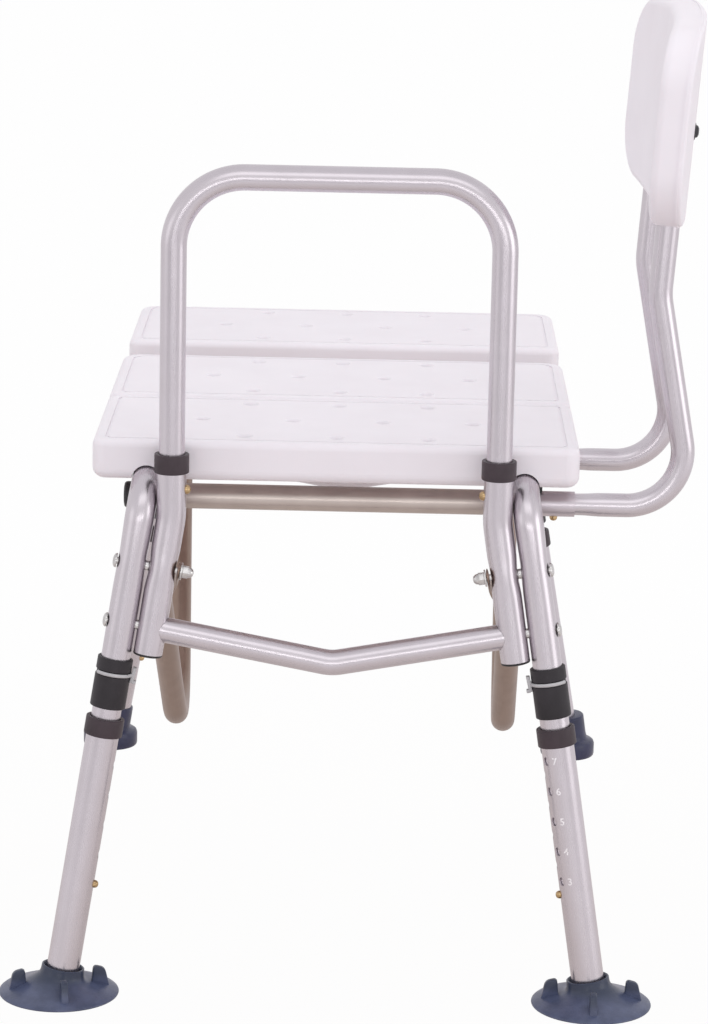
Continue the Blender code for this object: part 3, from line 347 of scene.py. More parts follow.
def belly(stop):
    """The bulge under a panel, which stops at this distance from its middle on the arm rail's side."""
    start = -PANEL_LENGTH / 2 + 0.020
    bm = block((start, -BELLY_HALF_WIDTH, BELLY_BOTTOM), (stop, BELLY_HALF_WIDTH, BELLY_TOP))
    lowest = [v for v in bm.verts if v.co.z < BELLY_BOTTOM + 0.002]
    for vert in lowest:
        vert.co.y *= 0.38
        vert.co.x *= 0.92
    rims = [e for e in bm.edges if all(v in lowest for v in e.verts)]
    rounded_edges(bm, rims, 0.004, 5)
    return bm


for label, middle_x in PANEL_MIDDLES.items():
    corners = PANEL_CORNERS[label]
    panel = carved(slab(*corners), [belly(BELLY_ENDS[label])], "UNION")
    slots = []
    for y in (-RAIL_Y, RAIL_Y):
        along = Matrix.Translation((0, y, RAIL_Z)) @ Matrix.Rotation(math.pi / 2, 4, "Y")
        slots.append(rod(RAIL_SLOT, -PANEL_LENGTH, PANEL_LENGTH, along, 40))
    panel = carved(panel, [pressed_line(*corners), *slots])
    panel = moved(carved(panel, [drains()]), Matrix.Translation((middle_x, 0, 0)))
    finish_piece(f"seat_{label}", panel, WHITE_POLY, "frame", [f"seat_panel_{label}"])


# Frame tubes: two anodised aluminium tubes, 25.4 mm across, each bent into a rail with a leg at both ends.
# The tube is pinched a little where the upper leg bolt draws it against the brace.
ENDS = {"arm": 1, "far": -1}
SIDES = {"front": -1, "rear": 1}
LEGS = {f"{end}_{side}": (end, side) for end in ENDS for side in SIDES}
SPLAY = {"arm": 0.156, "far": 0.180}
END_SPLAY = 0.060
POST_X = 0.353
POST_Y = 0.140
TUBE = 0.0127
TUBE_WALL = 0.0012
TUBE_APART = 2 * TUBE + 0.0012
RAIL_BEND = 0.032
FRAME_FOOT = 0.0835
POST_BEND_Z = RAIL_Z - (POST_Y + TUBE_APART * math.hypot(1, SPLAY["arm"]) - RAIL_Y) / SPLAY["arm"]
UPPER_BOLT = 0.383
LOWER_BOLT = 0.331
PINCH_REACH = 0.016
PINCH_LENGTH = 0.020


def drawn_streaks_group():
    group, source, sink = new_group("drawn_streaks", None, {"Around": 900.0, "Along": 9.0})
    place = node(group, "ShaderNodeUVMap", {"uv_map": "unrolled"}).outputs["UV"]
    parts = node(group, "ShaderNodeSeparateXYZ", Vector=place)
    stretched = node(group, "ShaderNodeCombineXYZ")
    for axis, label in (("X", "Around"), ("Y", "Along")):
        times = node(group, "ShaderNodeMath", {"operation": "MULTIPLY"})
        group.links.new(parts.outputs[axis], times.inputs[0])
        group.links.new(source.outputs[label], times.inputs[1])
        group.links.new(times.outputs["Value"], stretched.inputs[axis])
    streaks = node(group, "ShaderNodeTexNoise", Scale=1.0, Detail=4.0, Roughness=0.65,
                   Vector=stretched.outputs["Vector"])
    clouds = node(group, "ShaderNodeTexNoise", Scale=35.0, Detail=3.0, Roughness=0.5, Vector=place)
    group.links.new(streaks.outputs["Fac"], sink.inputs["Height"])
    group.links.new(clouds.outputs["Fac"], sink.inputs["Patches"])
    return group


DRAWN_STREAKS = drawn_streaks_group()


def drawn_metal(name, colour, deep, roughness, strength):
    made, tree, shader = principled(name, colour, roughness, 1.0)
    skin = node(tree, "ShaderNodeGroup", {"node_tree": DRAWN_STREAKS})
    height = skin.outputs["Height"]
    toned(tree, shader, skin.outputs["Patches"], (deep, colour), height,
          (roughness - 0.02, roughness + 0.03))
    bumped(tree, shader, height, strength, 0.0001)
    return made


ANODISED = drawn_metal("anodised_aluminium", (0.650, 0.609, 0.643), (0.627, 0.587, 0.618), 0.275, 0.045)


def leg_point(end, side, z):
    x = POST_X + END_SPLAY * (POST_BEND_Z - z)
    y = RAIL_Y + SPLAY[end] * (RAIL_Z - z)
    return Vector((ENDS[end] * x, SIDES[side] * y, z))


def leg_up(end, side):
    return Vector((-ENDS[end] * END_SPLAY, -SIDES[side] * SPLAY[end], 1.0)).normalized()


def aimed(origin, along, towards):
    z = Vector(along).normalized()
    x = Vector(towards) - z * Vector(towards).dot(z)
    x.normalize()
    return Matrix.Translation(Vector(origin)) @ Matrix((x, z.cross(x), z)).transposed().to_4x4()


def leg_frame(end, side):
    return aimed(leg_point(end, side, 0.0), leg_up(end, side), (0, -SIDES[side], 0))


def bent_route(corners, radii, step=math.radians(4.5), spacing=0.03):
    points = [Vector(corners[0])]
    for before, corner, after, radius in zip(corners, corners[1:], corners[2:], radii):
        corner = Vector(corner)
        back = (Vector(before) - corner).normalized()
        ahead = (Vector(after) - corner).normalized()
        turn = math.pi - back.angle(ahead)
        centre = corner + (back + ahead).normalized() * (radius / math.cos(turn / 2))
        start = corner + back * radius * math.tan(turn / 2) - centre
        axis = back.cross(ahead).normalized()
        steps = max(4, round(turn / step))
        for index in range(steps + 1):
            points.append(centre + Matrix.Rotation(-turn * index / steps, 3, axis) @ start)
    points.append(Vector(corners[-1]))
    route = [points[0]]
    for a, b in zip(points, points[1:]):
        count = max(1, math.ceil((b - a).length / spacing))
        route += [a.lerp(b, (index + 1) / count) for index in range(count)]
    return route


def extruded(bm, edges):
    """Extrudes edges where they stand and returns the new edges and their points."""
    made = bmesh.ops.extrude_edge_only(bm, edges=edges)["geom"]
    verts = [item for item in made if isinstance(item, bmesh.types.BMVert)]
    fresh = set(verts)
    edges = [item for item in made if isinstance(item, bmesh.types.BMEdge) and set(item.verts) <= fresh]
    return edges, verts


def narrowed(bm, ring, centre, factor, shift):
    edges, verts = extruded(bm, ring)
    about = Matrix.Translation(centre)
    step = Matrix.Translation(shift) @ about @ Matrix.Scale(factor, 4) @ about.inverted()
    bmesh.ops.transform(bm, matrix=step, verts=verts)
    return edges


def tube_along(route, radius, sides=32, mouths=(False, False), scales=None):
    """A ring is set at the start of the route and extruded from point to point. An open mouth is hollow."""
    bm = bmesh.new()
    turn = bm.verts.layers.float.new("turn")
    reach = bm.verts.layers.float.new("reach")
    unrolled = bm.loops.layers.uv.new("unrolled")
    ways = [(b - a).normalized() for a, b in zip(route, route[1:])]
    aims = [ways[0]] + [(a + b).normalized() for a, b in zip(ways, ways[1:])] + [ways[-1]]
    hint = (0, 0, 1) if abs(aims[0].z) < 0.9 else (1, 0, 0)
    bmesh.ops.create_circle(bm, cap_ends=False, radius=radius, segments=sides)
    for vert in bm.verts:
        vert[turn] = math.atan2(vert.co.y, vert.co.x) + math.pi
    moved(bm, aimed(route[0], aims[0], hint))
    ring = list(bm.edges)
    ends = [list(ring)]
    length = 0.0
    for index in range(1, len(route)):
        bend = aims[index - 1].rotation_difference(aims[index]).to_matrix().to_4x4()
        step = Matrix.Translation(route[index]) @ bend @ Matrix.Translation(-route[index - 1])
        ring, verts = extruded(bm, ring)
        bmesh.ops.transform(bm, matrix=step, verts=verts)
        stride = (route[index] - route[index - 1]).length
        length += stride
        for vert in verts:
            vert[reach] = length
        if scales:
            growth = Matrix.Scale(scales(length) / scales(length - stride), 4)
            centre = Matrix.Translation(route[index])
            bmesh.ops.transform(bm, matrix=centre @ growth @ centre.inverted(), verts=verts)
    ends.append(ring)
    for face in bm.faces:
        turns = [vert[turn] for vert in face.verts]
        wraps = max(turns) - min(turns) > math.pi
        for loop in face.loops:
            angle = loop.vert[turn]
            if wraps and angle < math.pi:
                angle += math.tau
            loop[unrolled].uv = (angle * radius, loop.vert[reach])
    inward = (ways[0], -ways[-1])
    for ring, centre, direction, is_open in zip(ends, (route[0], route[-1]), inward, mouths):
        if is_open:
            ring = narrowed(bm, ring, centre, (radius - TUBE_WALL) / radius, Vector())
            ring = narrowed(bm, ring, centre, 1.0, direction * 0.02)
        bmesh.ops.holes_fill(bm, edges=ring, sides=0)
    bmesh.ops.recalc_face_normals(bm, faces=bm.faces)
    return bm


def bolt_frame(end, side, z):
    return aimed(leg_point(end, side, z), (0, -SIDES[side], -SPLAY[end]), leg_up(end, side))


def pinched(bm, end, side, z, centre_in, amount):
    """Flattens a tube a little along the bolt, towards its own axis, and lets it bulge the other way."""
    place = raised(bolt_frame(end, side, z), centre_in)
    back = place.inverted()
    for vert in bm.verts:
        local = back @ vert.co
        if math.hypot(local.y, local.z) > PINCH_REACH or abs(local.x) > PINCH_LENGTH:
            continue
        ease = (1 + math.cos(math.pi * local.x / PINCH_LENGTH)) / 2
        local.z *= 1 - amount * ease
        local.y *= 1 + amount * 0.35 * ease
        vert.co = place @ local


for side in SIDES:
    feet = {end: leg_frame(end, side) @ Vector((0, 0, FRAME_FOOT)) for end in ENDS}
    corners = [feet["far"], leg_point("far", side, RAIL_Z), leg_point("arm", side, RAIL_Z), feet["arm"]]
    tube = tube_along(bent_route(corners, [RAIL_BEND, RAIL_BEND]), TUBE, 36, (True, True))
    for end in ENDS:
        pinched(tube, end, side, UPPER_BOLT, 0.0, 0.10)
    finish_piece(f"rail_and_legs_{side}", tube, ANODISED, "frame", [f"frame_tube_{side}"])


# Cross tubes: two 22.2 mm aluminium tubes, screwed up into both rails from below. Their rear ends take the
# backrest, their front ends are plugged, and a black plastic saddle on each rests against the rear rail.
CROSS = 0.0111
CROSS_Z = RAIL_Z - TUBE - CROSS - 0.0003
CROSS_FRONT = -0.1824
CROSS_REAR = 0.209
BACK_XS = {"arm_side": 0.280, "far_side": 0.095}
BACK_BUTTON_Y = CROSS_REAR - 0.018
BUTTON_HOLE = 0.0038
SADDLE_HALF = 0.005
SADDLE_FRONT = 0.1752
SADDLE_REAR = 0.1804

# Painted shade: the cross tubes' warm, darker tone stands in for the shade under the seat and a painted warm
# reflection there.
SHADED_CROSS_METAL = drawn_metal("cross_bar_aluminium_painted_shade", (0.585, 0.515, 0.473), (0.535, 0.468, 0.430), 0.33, 0.05)


def faded_along(material, axis, start, end, tone):
    """The material's colour fades to one tone between two places along an axis of the bench."""
    tree = material.node_tree
    shader = tree.nodes["Principled BSDF"]
    patches = shader.inputs["Base Color"].links[0].from_socket
    parts = node(tree, "ShaderNodeSeparateXYZ", Vector=object_place(tree))
    fade = node(tree, "ShaderNodeMapRange", {"interpolation_type": "SMOOTHSTEP"}, Value=parts.outputs[axis],
                From_Min=start, From_Max=end)
    mix = node(tree, "ShaderNodeMix", {"data_type": "RGBA"})
    mix.inputs[7].default_value = (*tone, 1.0)
    tree.links.new(fade.outputs["Result"], mix.inputs[0])
    tree.links.new(patches, mix.inputs[6])
    tree.links.new(mix.outputs[2], shader.inputs["Base Color"])


# The painted shade fades to the frame's light tone towards the tubes' rear ends, where they come out from
# under the seat.
faded_along(SHADED_CROSS_METAL, "Y", 0.125, 0.172, (0.635, 0.585, 0.620))
BLACK_PLASTIC = moulded_plastic("black_plastic", (0.022, 0.021, 0.023), (0.015, 0.014, 0.016),
                                0.46, 0.2, 1500.0)
DARK_BOLT = moulded_plastic("blackened_screw", (0.030, 0.030, 0.034), (0.020, 0.020, 0.022),
                            0.36, 0.1, 2500.0)


def pan_head(matrix, radius=0.0045, height=0.0026):
    """A low screw head with a cross-shaped recess."""
    head = [(0, height), (radius * 0.55, height * 0.94), (radius * 0.88, height * 0.66),
            (radius, height * 0.2), (radius, 0), (0, 0)]
    arms = ((radius * 0.55, radius * 0.11), (radius * 0.11, radius * 0.55))
    recess = [block((-x, -y, height * 0.35), (x, y, height * 2)) for x, y in arms]
    return moved(carved(turned(head, Matrix(), 24), recess), matrix)


def facing_down(x, y, z):
    return Matrix.Translation((x, y, z)) @ Matrix.Rotation(math.pi, 4, "X")


def back_button_hole(x):
    """The cutter for the hole that a backrest's button comes through, in a tube's underside."""
    return rod(BUTTON_HOLE, 0.0, 0.02, facing_down(x, BACK_BUTTON_Y, CROSS_Z))


for label, x in BACK_XS.items():
    route = bent_route([(x, CROSS_FRONT, CROSS_Z), (x, CROSS_REAR, CROSS_Z)], [])
    bar = carved(tube_along(route, CROSS, 36, (True, True)), [back_button_hole(x)])
    finish_piece(f"cross_bar_{label}", bar, SHADED_CROSS_METAL, "frame", [f"cross_tube_{label}"])
    plug = turned([(0, 0.0032), (0.0080, 0.0031), (0.0103, 0.0026), (0.0115, 0.0012), (0.0117, -0.0002),
                   (0.0117, -0.0052), (0.0113, -0.0056), (0.0110, -0.0056), (0.0110, 0.0003),
                   (0.0095, 0.0003), (0.0095, -0.012), (0, -0.012)],
                  aimed((x, CROSS_FRONT, CROSS_Z), (0, -1, 0), (1, 0, 0)))
    finish_piece(f"cross_bar_plug_{label}", plug, BLACK_PLASTIC, "frame",
                 [f"cross_tube_plug_{label}"])
    under = CROSS_Z - CROSS + 0.0004
    fixings = [pan_head(facing_down(x, y, under), 0.0050, 0.0030) for y in (-RAIL_Y, RAIL_Y)]
    finish_piece(f"cross_bar_screws_{label}", together(*fixings), DARK_BOLT, "frame")
    saddle = block((x - SADDLE_HALF, SADDLE_FRONT, CROSS_Z + CROSS * 0.55),
                   (x + SADDLE_HALF, SADDLE_REAR, RAIL_Z + 0.0002))
    hollow = aimed((x, 0, CROSS_Z), (0, 1, 0), (1, 0, 0))
    saddle = carved(saddle, [rod(CROSS + 0.0001, -0.3, 0.3, hollow, 48)])
    rounded_edges(saddle, [e for e in saddle.edges if e.calc_face_angle(0) > 1.2], 0.0008, 3)
    finish_piece(f"saddle_{label}", saddle, BLACK_PLASTIC, "frame")


# Seat screws: blackened steel pan heads, four under each panel. They come up through the rails from below
# and hold the panels down.
SEAT_SCREW_OFFSET = 0.068

screws = []
for middle_x in PANEL_MIDDLES.values():
    for y in (-RAIL_Y, RAIL_Y):
        for offset in (-SEAT_SCREW_OFFSET, SEAT_SCREW_OFFSET):
            screws.append(pan_head(facing_down(middle_x + offset, y, RAIL_Z - TUBE + 0.0003)))
finish_piece("seat_screws", together(*screws), DARK_BOLT, "frame")


# Arm rail: one 22.2 mm aluminium tube bent into a hoop. Its ends drop into two receivers of 25.4 mm
# aluminium tube, bolted to the legs, each with a dark nylon collar at its mouth and a black plastic plug
# at its foot.
HOOP = 0.0111
HOOP_TOP = 0.7184
HOOP_BEND = 0.060
MOUTH_Z = 0.4762
RECEIVER_FOOT = 0.3045
RECEIVER_BEND = 0.080
ARM_BUTTON_Z = 0.4483
ARM_BUTTON_HOLE = 0.0050
HOOP_FOOT = ARM_BUTTON_Z - 0.016
COLLAR_PROUD = 0.0033
MOUTH_COLLAR_TALL = 0.0165

COLLAR_GREY = moulded_plastic("dark_grey_nylon", (0.056, 0.040, 0.048), (0.043, 0.031, 0.037),
                              0.46, 0.25, 1300.0, 40.0, 0.35)


def arm_button_frame(side):
    return aimed((POST_X, SIDES[side] * POST_Y, ARM_BUTTON_Z), (0, 0, 1), (0, -SIDES[side], 0))


def sideways(matrix):
    return matrix @ Matrix.Rotation(math.pi / 2, 4, "Y")


corners = [(POST_X, -POST_Y, HOOP_FOOT), (POST_X, -POST_Y, HOOP_TOP), (POST_X, POST_Y, HOOP_TOP),
           (POST_X, POST_Y, HOOP_FOOT)]
hoop = tube_along(bent_route(corners, [HOOP_BEND, HOOP_BEND], math.radians(3)), HOOP, 40, (True, True))
finish_piece("arm_hoop", hoop, ANODISED, "arm", ["arm_rail"])

for side, sign in SIDES.items():
    knee = Vector((POST_X, sign * POST_Y, POST_BEND_Z))
    down = -leg_up("arm", side)
    foot = knee + down * ((POST_BEND_Z - RECEIVER_FOOT) / -down.z)
    mouth = (POST_X, sign * POST_Y, MOUTH_Z)
    route = bent_route([mouth, knee, foot], [RECEIVER_BEND], math.radians(1.5), 0.006)
    receiver = tube_along(route, TUBE, 36, (False, True))
    pinched(receiver, "arm", side, UPPER_BOLT, TUBE_APART, 0.09)
    receiver = carved(receiver, [rod(ARM_BUTTON_HOLE, 0.0, 0.02, sideways(arm_button_frame(side)))])
    finish_piece(f"receiver_{side}", receiver, ANODISED, "frame", [f"arm_receiver_{side}"])
    plug = turned([(0, 0.0024), (0.0110, 0.0023), (0.0124, 0.0018), (0.0128, 0.0004), (0.0108, 0.0003),
                   (0.0108, -0.010), (0, -0.010)], aimed(foot, down, (1, 0, 0)))
    finish_piece(f"receiver_foot_{side}", plug, BLACK_PLASTIC, "frame",
                 [f"receiver_plug_{side}"])
    ring = [(0.0144, 0.0165), (0.0149, 0.0161), (0.0150, 0.0154), (0.0150, 0.0012), (0.0149, 0.0005),
            (0.0144, 0.0001), (0.0130, 0.0), (0.0130, 0.0135), (0.0114, 0.0135), (0.0114, 0.0161),
            (0.0118, 0.0165)]
    seat = raised(Matrix.Translation(mouth), COLLAR_PROUD - MOUTH_COLLAR_TALL)
    collar = turned(ring, seat, 48, closed=True)
    finish_piece(f"mouth_collar_{side}", collar, COLLAR_GREY, "frame",
                 [f"arm_collar_{side}"])


# Braces: bent from 22.2 mm aluminium tube. A shallow V crosses each end, with ends shaped to sit on the
# tubes, and a long V runs under each side, with ends pressed flat and clamped by the upper leg bolts.
BRACE = 0.0111
SNUG = 0.0003
END_TIE_LOW = 0.2984
END_TIE_BEND = 0.040
SIDE_BRACE_Y = 0.156
SIDE_BRACE_SHIFT = 0.005
SIDE_BRACE_LOW = 0.1236
SIDE_BRACE_BEND = 0.120
TAB = 0.0026
TONGUE_WIDE = 0.016
TONGUE_TIP = 0.009
TONGUE_FLAT = 0.014
TONGUE_EASE = 0.062
TONGUE_REACH = 0.138
TIP_STEPS = (0, 0.0006, 0.0018, 0.0036, 0.006, 0.009, 0.016, 0.023)
SET_IN = {"arm": 0.0205, "far": 0.0085}


def inboard_face(end):
    """How far in from the leg's axis a brace meets the innermost tube, along the bolt."""
    return TUBE + SNUG + (TUBE_APART if end == "arm" else 0.0)


for end in ENDS:
    starts = {}
    for side in SIDES:
        starts[side] = bolt_frame(end, side, LOWER_BOLT) @ Vector((0, 0, inboard_face(end) - TUBE - SNUG))
    middle = Vector((starts["front"].x, 0, END_TIE_LOW))
    route = bent_route([starts["front"], middle, starts["rear"]], [END_TIE_BEND], math.radians(1.5), 0.012)
    seats = []
    for side in SIDES:
        leg = aimed(starts[side], leg_up(end, side), (1, 0, 0))
        seats.append(rod(TUBE + SNUG, -0.05, 0.05, leg, 72))
    brace = carved(tube_along(route, BRACE, 36), seats)
    finish_piece(f"end_tie_{end}", brace, ANODISED, "frame", [f"end_brace_{end}"])


def risen(value, start, run):
    """How far a value has come along this run, from 0 to 1."""
    return min(1.0, max(0.0, (value - start) / run))


def eased(share):
    return share * share * (3 - 2 * share)


def pressed_flat(bm, bolt, axis, place, bottom):
    """Squeezes a tube's end into a round-tipped tongue at the bolt, easing back to round further along."""
    normal = place.to_3x3() @ Vector((0, 0, 1))
    along = bottom - axis
    slope = along.dot(normal)
    along -= normal * slope
    slope /= along.length
    along.normalize()
    across = normal.cross(along)
    narrow = TONGUE_WIDE / (2 * BRACE)
    squash = TAB / (2 * BRACE)
    for vert in bm.verts:
        offset = vert.co - bolt
        run = offset.dot(along)
        blend = risen(run, TONGUE_FLAT, TONGUE_EASE)
        if blend >= 1.0 or offset.length > TONGUE_REACH:
            continue
        ease = eased(blend)
        axis_height = (axis - bolt).dot(normal) + slope * run
        height = offset.dot(normal) - axis_height
        squeezed = axis_height * ease + height * (squash + (1 - squash) * ease)
        width = narrow + (1 - narrow) * ease + blend * (1 - blend)
        tip = min(0.0, run / TONGUE_TIP)
        width *= math.sqrt(max(0.05, 1 - tip * tip))
        vert.co += normal * (squeezed - offset.dot(normal)) + across * offset.dot(across) * (width - 1)


# Painted shade: the long braces' dark brown tone stands in for the shade under the seat and a painted warm
# reflection.
SHADED_BRACE_METAL = drawn_metal("side_brace_aluminium_painted_shade", (0.332, 0.242, 0.196), (0.296, 0.214, 0.172), 0.34, 0.06)

for side, sign in SIDES.items():
    bottom = Vector((0, sign * SIDE_BRACE_Y + SIDE_BRACE_SHIFT, SIDE_BRACE_LOW))
    places = {end: bolt_frame(end, side, UPPER_BOLT) for end in ENDS}
    bolts = {end: places[end] @ Vector((0, 0, inboard_face(end) + TAB / 2)) for end in ENDS}
    axes = {end: places[end] @ Vector((0, 0, inboard_face(end) + TAB / 2 - SET_IN[end])) for end in ENDS}
    fine = {}
    for end in ENDS:
        tip = axes[end] + (axes[end] - bottom).normalized() * TONGUE_TIP
        way = (bottom - tip).normalized()
        fine[end] = [tip + way * step for step in TIP_STEPS]
    corners = [fine["arm"][-1], bottom, fine["far"][-1]]
    middle = bent_route(corners, [SIDE_BRACE_BEND], math.radians(3), 0.005)
    brace = tube_along(fine["arm"][:-1] + middle + fine["far"][-2::-1], BRACE, 32)
    for end in ENDS:
        pressed_flat(brace, bolts[end], axes[end], places[end], bottom)
    finish_piece(f"side_brace_{side}", brace, SHADED_BRACE_METAL, "frame", [f"long_brace_{side}"])


# Leg bolts: zinc-plated steel, with a low domed head outside and, at the arm end, spacers between the
# tubes. The upper ones have a washer and a domed nut that clamp the brace's flat end.
def bright_metal(name, colour, deep, roughness):
    made, tree, shader = principled(name, colour, roughness, 1.0)
    grained(tree, shader, (deep, colour), (roughness - 0.05, roughness + 0.08), 2200.0, 160.0, 0.12, 0.0001)
    return made


ZINC = bright_metal("zinc_plate", (0.71, 0.70, 0.69), (0.55, 0.54, 0.53), 0.24)

for label, (end, side) in LEGS.items():
    top = inboard_face(end) + TAB + SNUG
    dome = [(0, top + 0.0115), (0.0026, top + 0.0109), (0.0042, top + 0.0092), (0.0048, top + 0.0069),
            (0.0048, top + 0.0014), (0.0072, top + 0.0014), (0.0075, top + 0.0010),
            (0.0075, top + 0.0002), (0.0072, top), (0.0030, top), (0.0030, -0.0130)]
    head = [(0.0062, -0.0130), (0.0063, -0.0136), (0.0060, -0.0146), (0.0046, -0.0158),
            (0.0024, -0.0164), (0, -0.0165)]
    nut = rod(0.0058, top + 0.0013, top + 0.0068, Matrix(), 6)
    rounded_edges(nut, list(nut.edges), 0.0004, 2)
    bolt = moved(together(turned(dome + head, Matrix(), 32), nut), bolt_frame(end, side, UPPER_BOLT))
    finish_piece(f"clamp_bolt_{label}", bolt, ZINC, "frame", [f"upper_bolt_{label}"])
    tip = inboard_face(end) + 0.018
    shank = [(0, tip), (0.0024, tip), (0.0030, tip - 0.0006), (0.0030, -0.0130)]
    bolt = turned(shank + head, bolt_frame(end, side, LOWER_BOLT), 32)
    finish_piece(f"tie_bolt_{label}", bolt, ZINC, "frame", [f"lower_bolt_{label}"])

for side in SIDES:
    low = TUBE - 0.0010
    high = TUBE + 0.0022
    spacer = [(0.0040, high), (0.0044, high - 0.0004), (0.0044, low + 0.0004), (0.0040, low),
              (0.0032, low), (0.0032, high)]
    spacers = [turned(spacer, bolt_frame("arm", side, z), 28, closed=True) for z in (UPPER_BOLT, LOWER_BOLT)]
    finish_piece(f"spacers_{side}", together(*spacers), ZINC, "frame")


# Height-adjusting legs: 28.6 mm aluminium tubes that slide on the frame's legs, each with two staggered
# rows of drilled holes and plain stamped numbers. A dark nylon collar sits on top of each one.
LEG = 0.0143
LEG_WALL = 0.0013
LEG_FOOT = 0.0115
LEG_TOP = 0.2475
LEG_COLLAR_TALL = 0.0160
BUTTON_UP = 0.1015
HOLE_PITCH = 0.027
HOLES_IN_ROW = 5
ROW_TURN = math.radians(36)
FIRST_NUMBER = 3
NUMBER_TURN = ROW_TURN + 0.62


def stamped_number(text, place, up, turn):
    """A plain digit, wrapped round the leg beside its hole."""
    curve = bpy.data.curves.new("digit", "FONT")
    curve.body = text
    curve.size = 0.0088
    curve.align_x = "CENTER"
    curve.align_y = "CENTER"
    curve.offset = 0.00012
    curve.extrude = 0.0002
    curve.resolution_u = 3
    bm = baked(new_object("digit", curve))
    bpy.data.curves.remove(curve)
    bmesh.ops.remove_doubles(bm, verts=bm.verts, dist=0.000005)
    for vert in bm.verts:
        angle = turn + vert.co.x / LEG
        distance = LEG - 0.0001 + max(vert.co.z, 0.0)
        height = up + vert.co.y
        vert.co = place @ Vector((distance * math.cos(angle), distance * math.sin(angle), height))
    return bm


STAMPED = bright_metal("stamped_digits", (0.96, 0.94, 0.96), (0.90, 0.88, 0.90), 0.50)

for label, (end, side) in LEGS.items():
    place = leg_frame(end, side)
    route = [place @ Vector((0, 0, LEG_FOOT + (LEG_TOP - LEG_FOOT) * index / 8)) for index in range(9)]
    holes = []
    for turn, stagger in ((0.0, 0.0), (ROW_TURN, 0.5)):
        for index in range(HOLES_IN_ROW):
            spot = raised(place @ Matrix.Rotation(turn, 4, "Z"), BUTTON_UP + (index + stagger) * HOLE_PITCH)
            holes.append(rod(BUTTON_HOLE, LEG * 0.5, LEG * 1.3, sideways(spot), 24))
    bore = rod(LEG - LEG_WALL, LEG_FOOT + 0.002, LEG_TOP + 0.01, place, 40)
    leg = carved(tube_along(route, LEG, 40), [bore, together(*holes)])
    body = f"leg_{label}"
    finish_piece(f"leg_tube_{label}", leg, ANODISED, body, [f"lower_leg_{label}"])
    digits = []
    for index in range(HOLES_IN_ROW):
        height = BUTTON_UP + (index + 0.5) * HOLE_PITCH
        digits.append(stamped_number(str(FIRST_NUMBER + index), place, height, NUMBER_TURN))
    finish_piece(f"leg_numbers_{label}", together(*digits), STAMPED, body)
    ring = [(0.0160, 0.0160), (0.0166, 0.0156), (0.01675, 0.0148), (0.01675, 0.0012), (0.0166, 0.0004),
            (0.0160, 0.0), (0.0146, 0.0), (0.0146, 0.0130), (0.0133, 0.0130), (0.0133, 0.0156),
            (0.0137, 0.0160)]
    collar = turned(ring, raised(place, LEG_TOP + COLLAR_PROUD - LEG_COLLAR_TALL), 48, closed=True)
    finish_piece(f"leg_collar_{label}", collar, COLLAR_GREY, body,
                 [f"lower_collar_{label}"])


# Upper collars: long charcoal nylon sleeves fixed on the frame's legs. Each has a pale plastic spring ring
# in its groove, with a hook on the ring's inboard side.
SLEEVE_UP = LEG_TOP + 0.0128
GROOVE_UP = 0.0308
GROOVE_HALF = 0.0020
CLIP_WIRE = 0.00155
CLIP_TAB_HALF = 0.0034

SLEEVE_GREY = moulded_plastic("charcoal_nylon", (0.030, 0.026, 0.031), (0.022, 0.019, 0.022),
                              0.48, 0.25, 1300.0, 40.0, 0.35)
PALE_CLIP = moulded_plastic("pale_grey_clip", (0.52, 0.52, 0.53), (0.46, 0.46, 0.47),
                            0.42, 0.15, 1300.0, 60.0)


def open_ring():
    """A slightly flattened wire that goes most of the way round the groove, with its gap outboard."""
    ring = bmesh.new()
    bmesh.ops.create_circle(ring, cap_ends=True, radius=CLIP_WIRE, segments=12)
    upright = Matrix.Rotation(math.pi / 2, 4, "X") @ Matrix.Diagonal((0.80, 1.0, 1.0, 1.0))
    start = Matrix.Rotation(math.radians(-145), 4, "Z") @ Matrix.Translation((0.01570, 0, 0))
    moved(ring, start @ upright)
    bmesh.ops.spin(ring, geom=everything(ring), cent=(0, 0, 0), axis=(0, 0, 1), angle=math.radians(290),
                   steps=40, use_merge=False)
    bmesh.ops.recalc_face_normals(ring, faces=ring.faces)
    return ring


for label, (end, side) in LEGS.items():
    place = raised(leg_frame(end, side), SLEEVE_UP)
    low = GROOVE_UP - GROOVE_HALF
    high = GROOVE_UP + GROOVE_HALF
    profile = [(0.0148, 0.0440), (0.0153, 0.0436), (0.0154, 0.0430), (0.0154, high + 0.0004),
               (0.0150, high), (0.0144, high), (0.0144, low), (0.0150, low), (0.0154, low - 0.0004),
               (0.0154, 0.0010), (0.0153, 0.0004), (0.0148, 0.0), (0.0130, 0.0), (0.0130, 0.0440)]
    sleeve = turned(profile, place, 48, closed=True)
    finish_piece(f"leg_sleeve_{label}", sleeve, SLEEVE_GREY, "frame",
                 [f"upper_collar_{label}"])
    tab = block((0.0152, -CLIP_TAB_HALF, -0.0066), (0.0186, CLIP_TAB_HALF, 0.0072))
    for vert in tab.verts:
        if vert.co.z > 0:
            vert.co.x += 0.0010
    lip = block((0.0170, -CLIP_TAB_HALF, -0.0072), (0.0206, CLIP_TAB_HALF, -0.0044))
    for part in (tab, lip):
        rounded_edges(part, list(part.edges), 0.0007, 2)
    clip = moved(together(open_ring(), tab, lip), raised(place, GROOVE_UP))
    finish_piece(f"spring_ring_{label}", clip, PALE_CLIP, "frame",
                 [f"ring_clip_{label}"])


# Snap buttons: a brass dome on a folded spring band of the same metal, which lies inside its tube and
# pushes the dome out through both tubes' holes.
BUTTON = 0.0035
ARM_BUTTON = 0.00425
BUTTON_TRAVEL = 0.0040
BAND_HALF = 0.0029
BAND_THICK = 0.0006

BRASS = bright_metal("button_brass", (0.62, 0.45, 0.25), (0.42, 0.29, 0.15), 0.15)


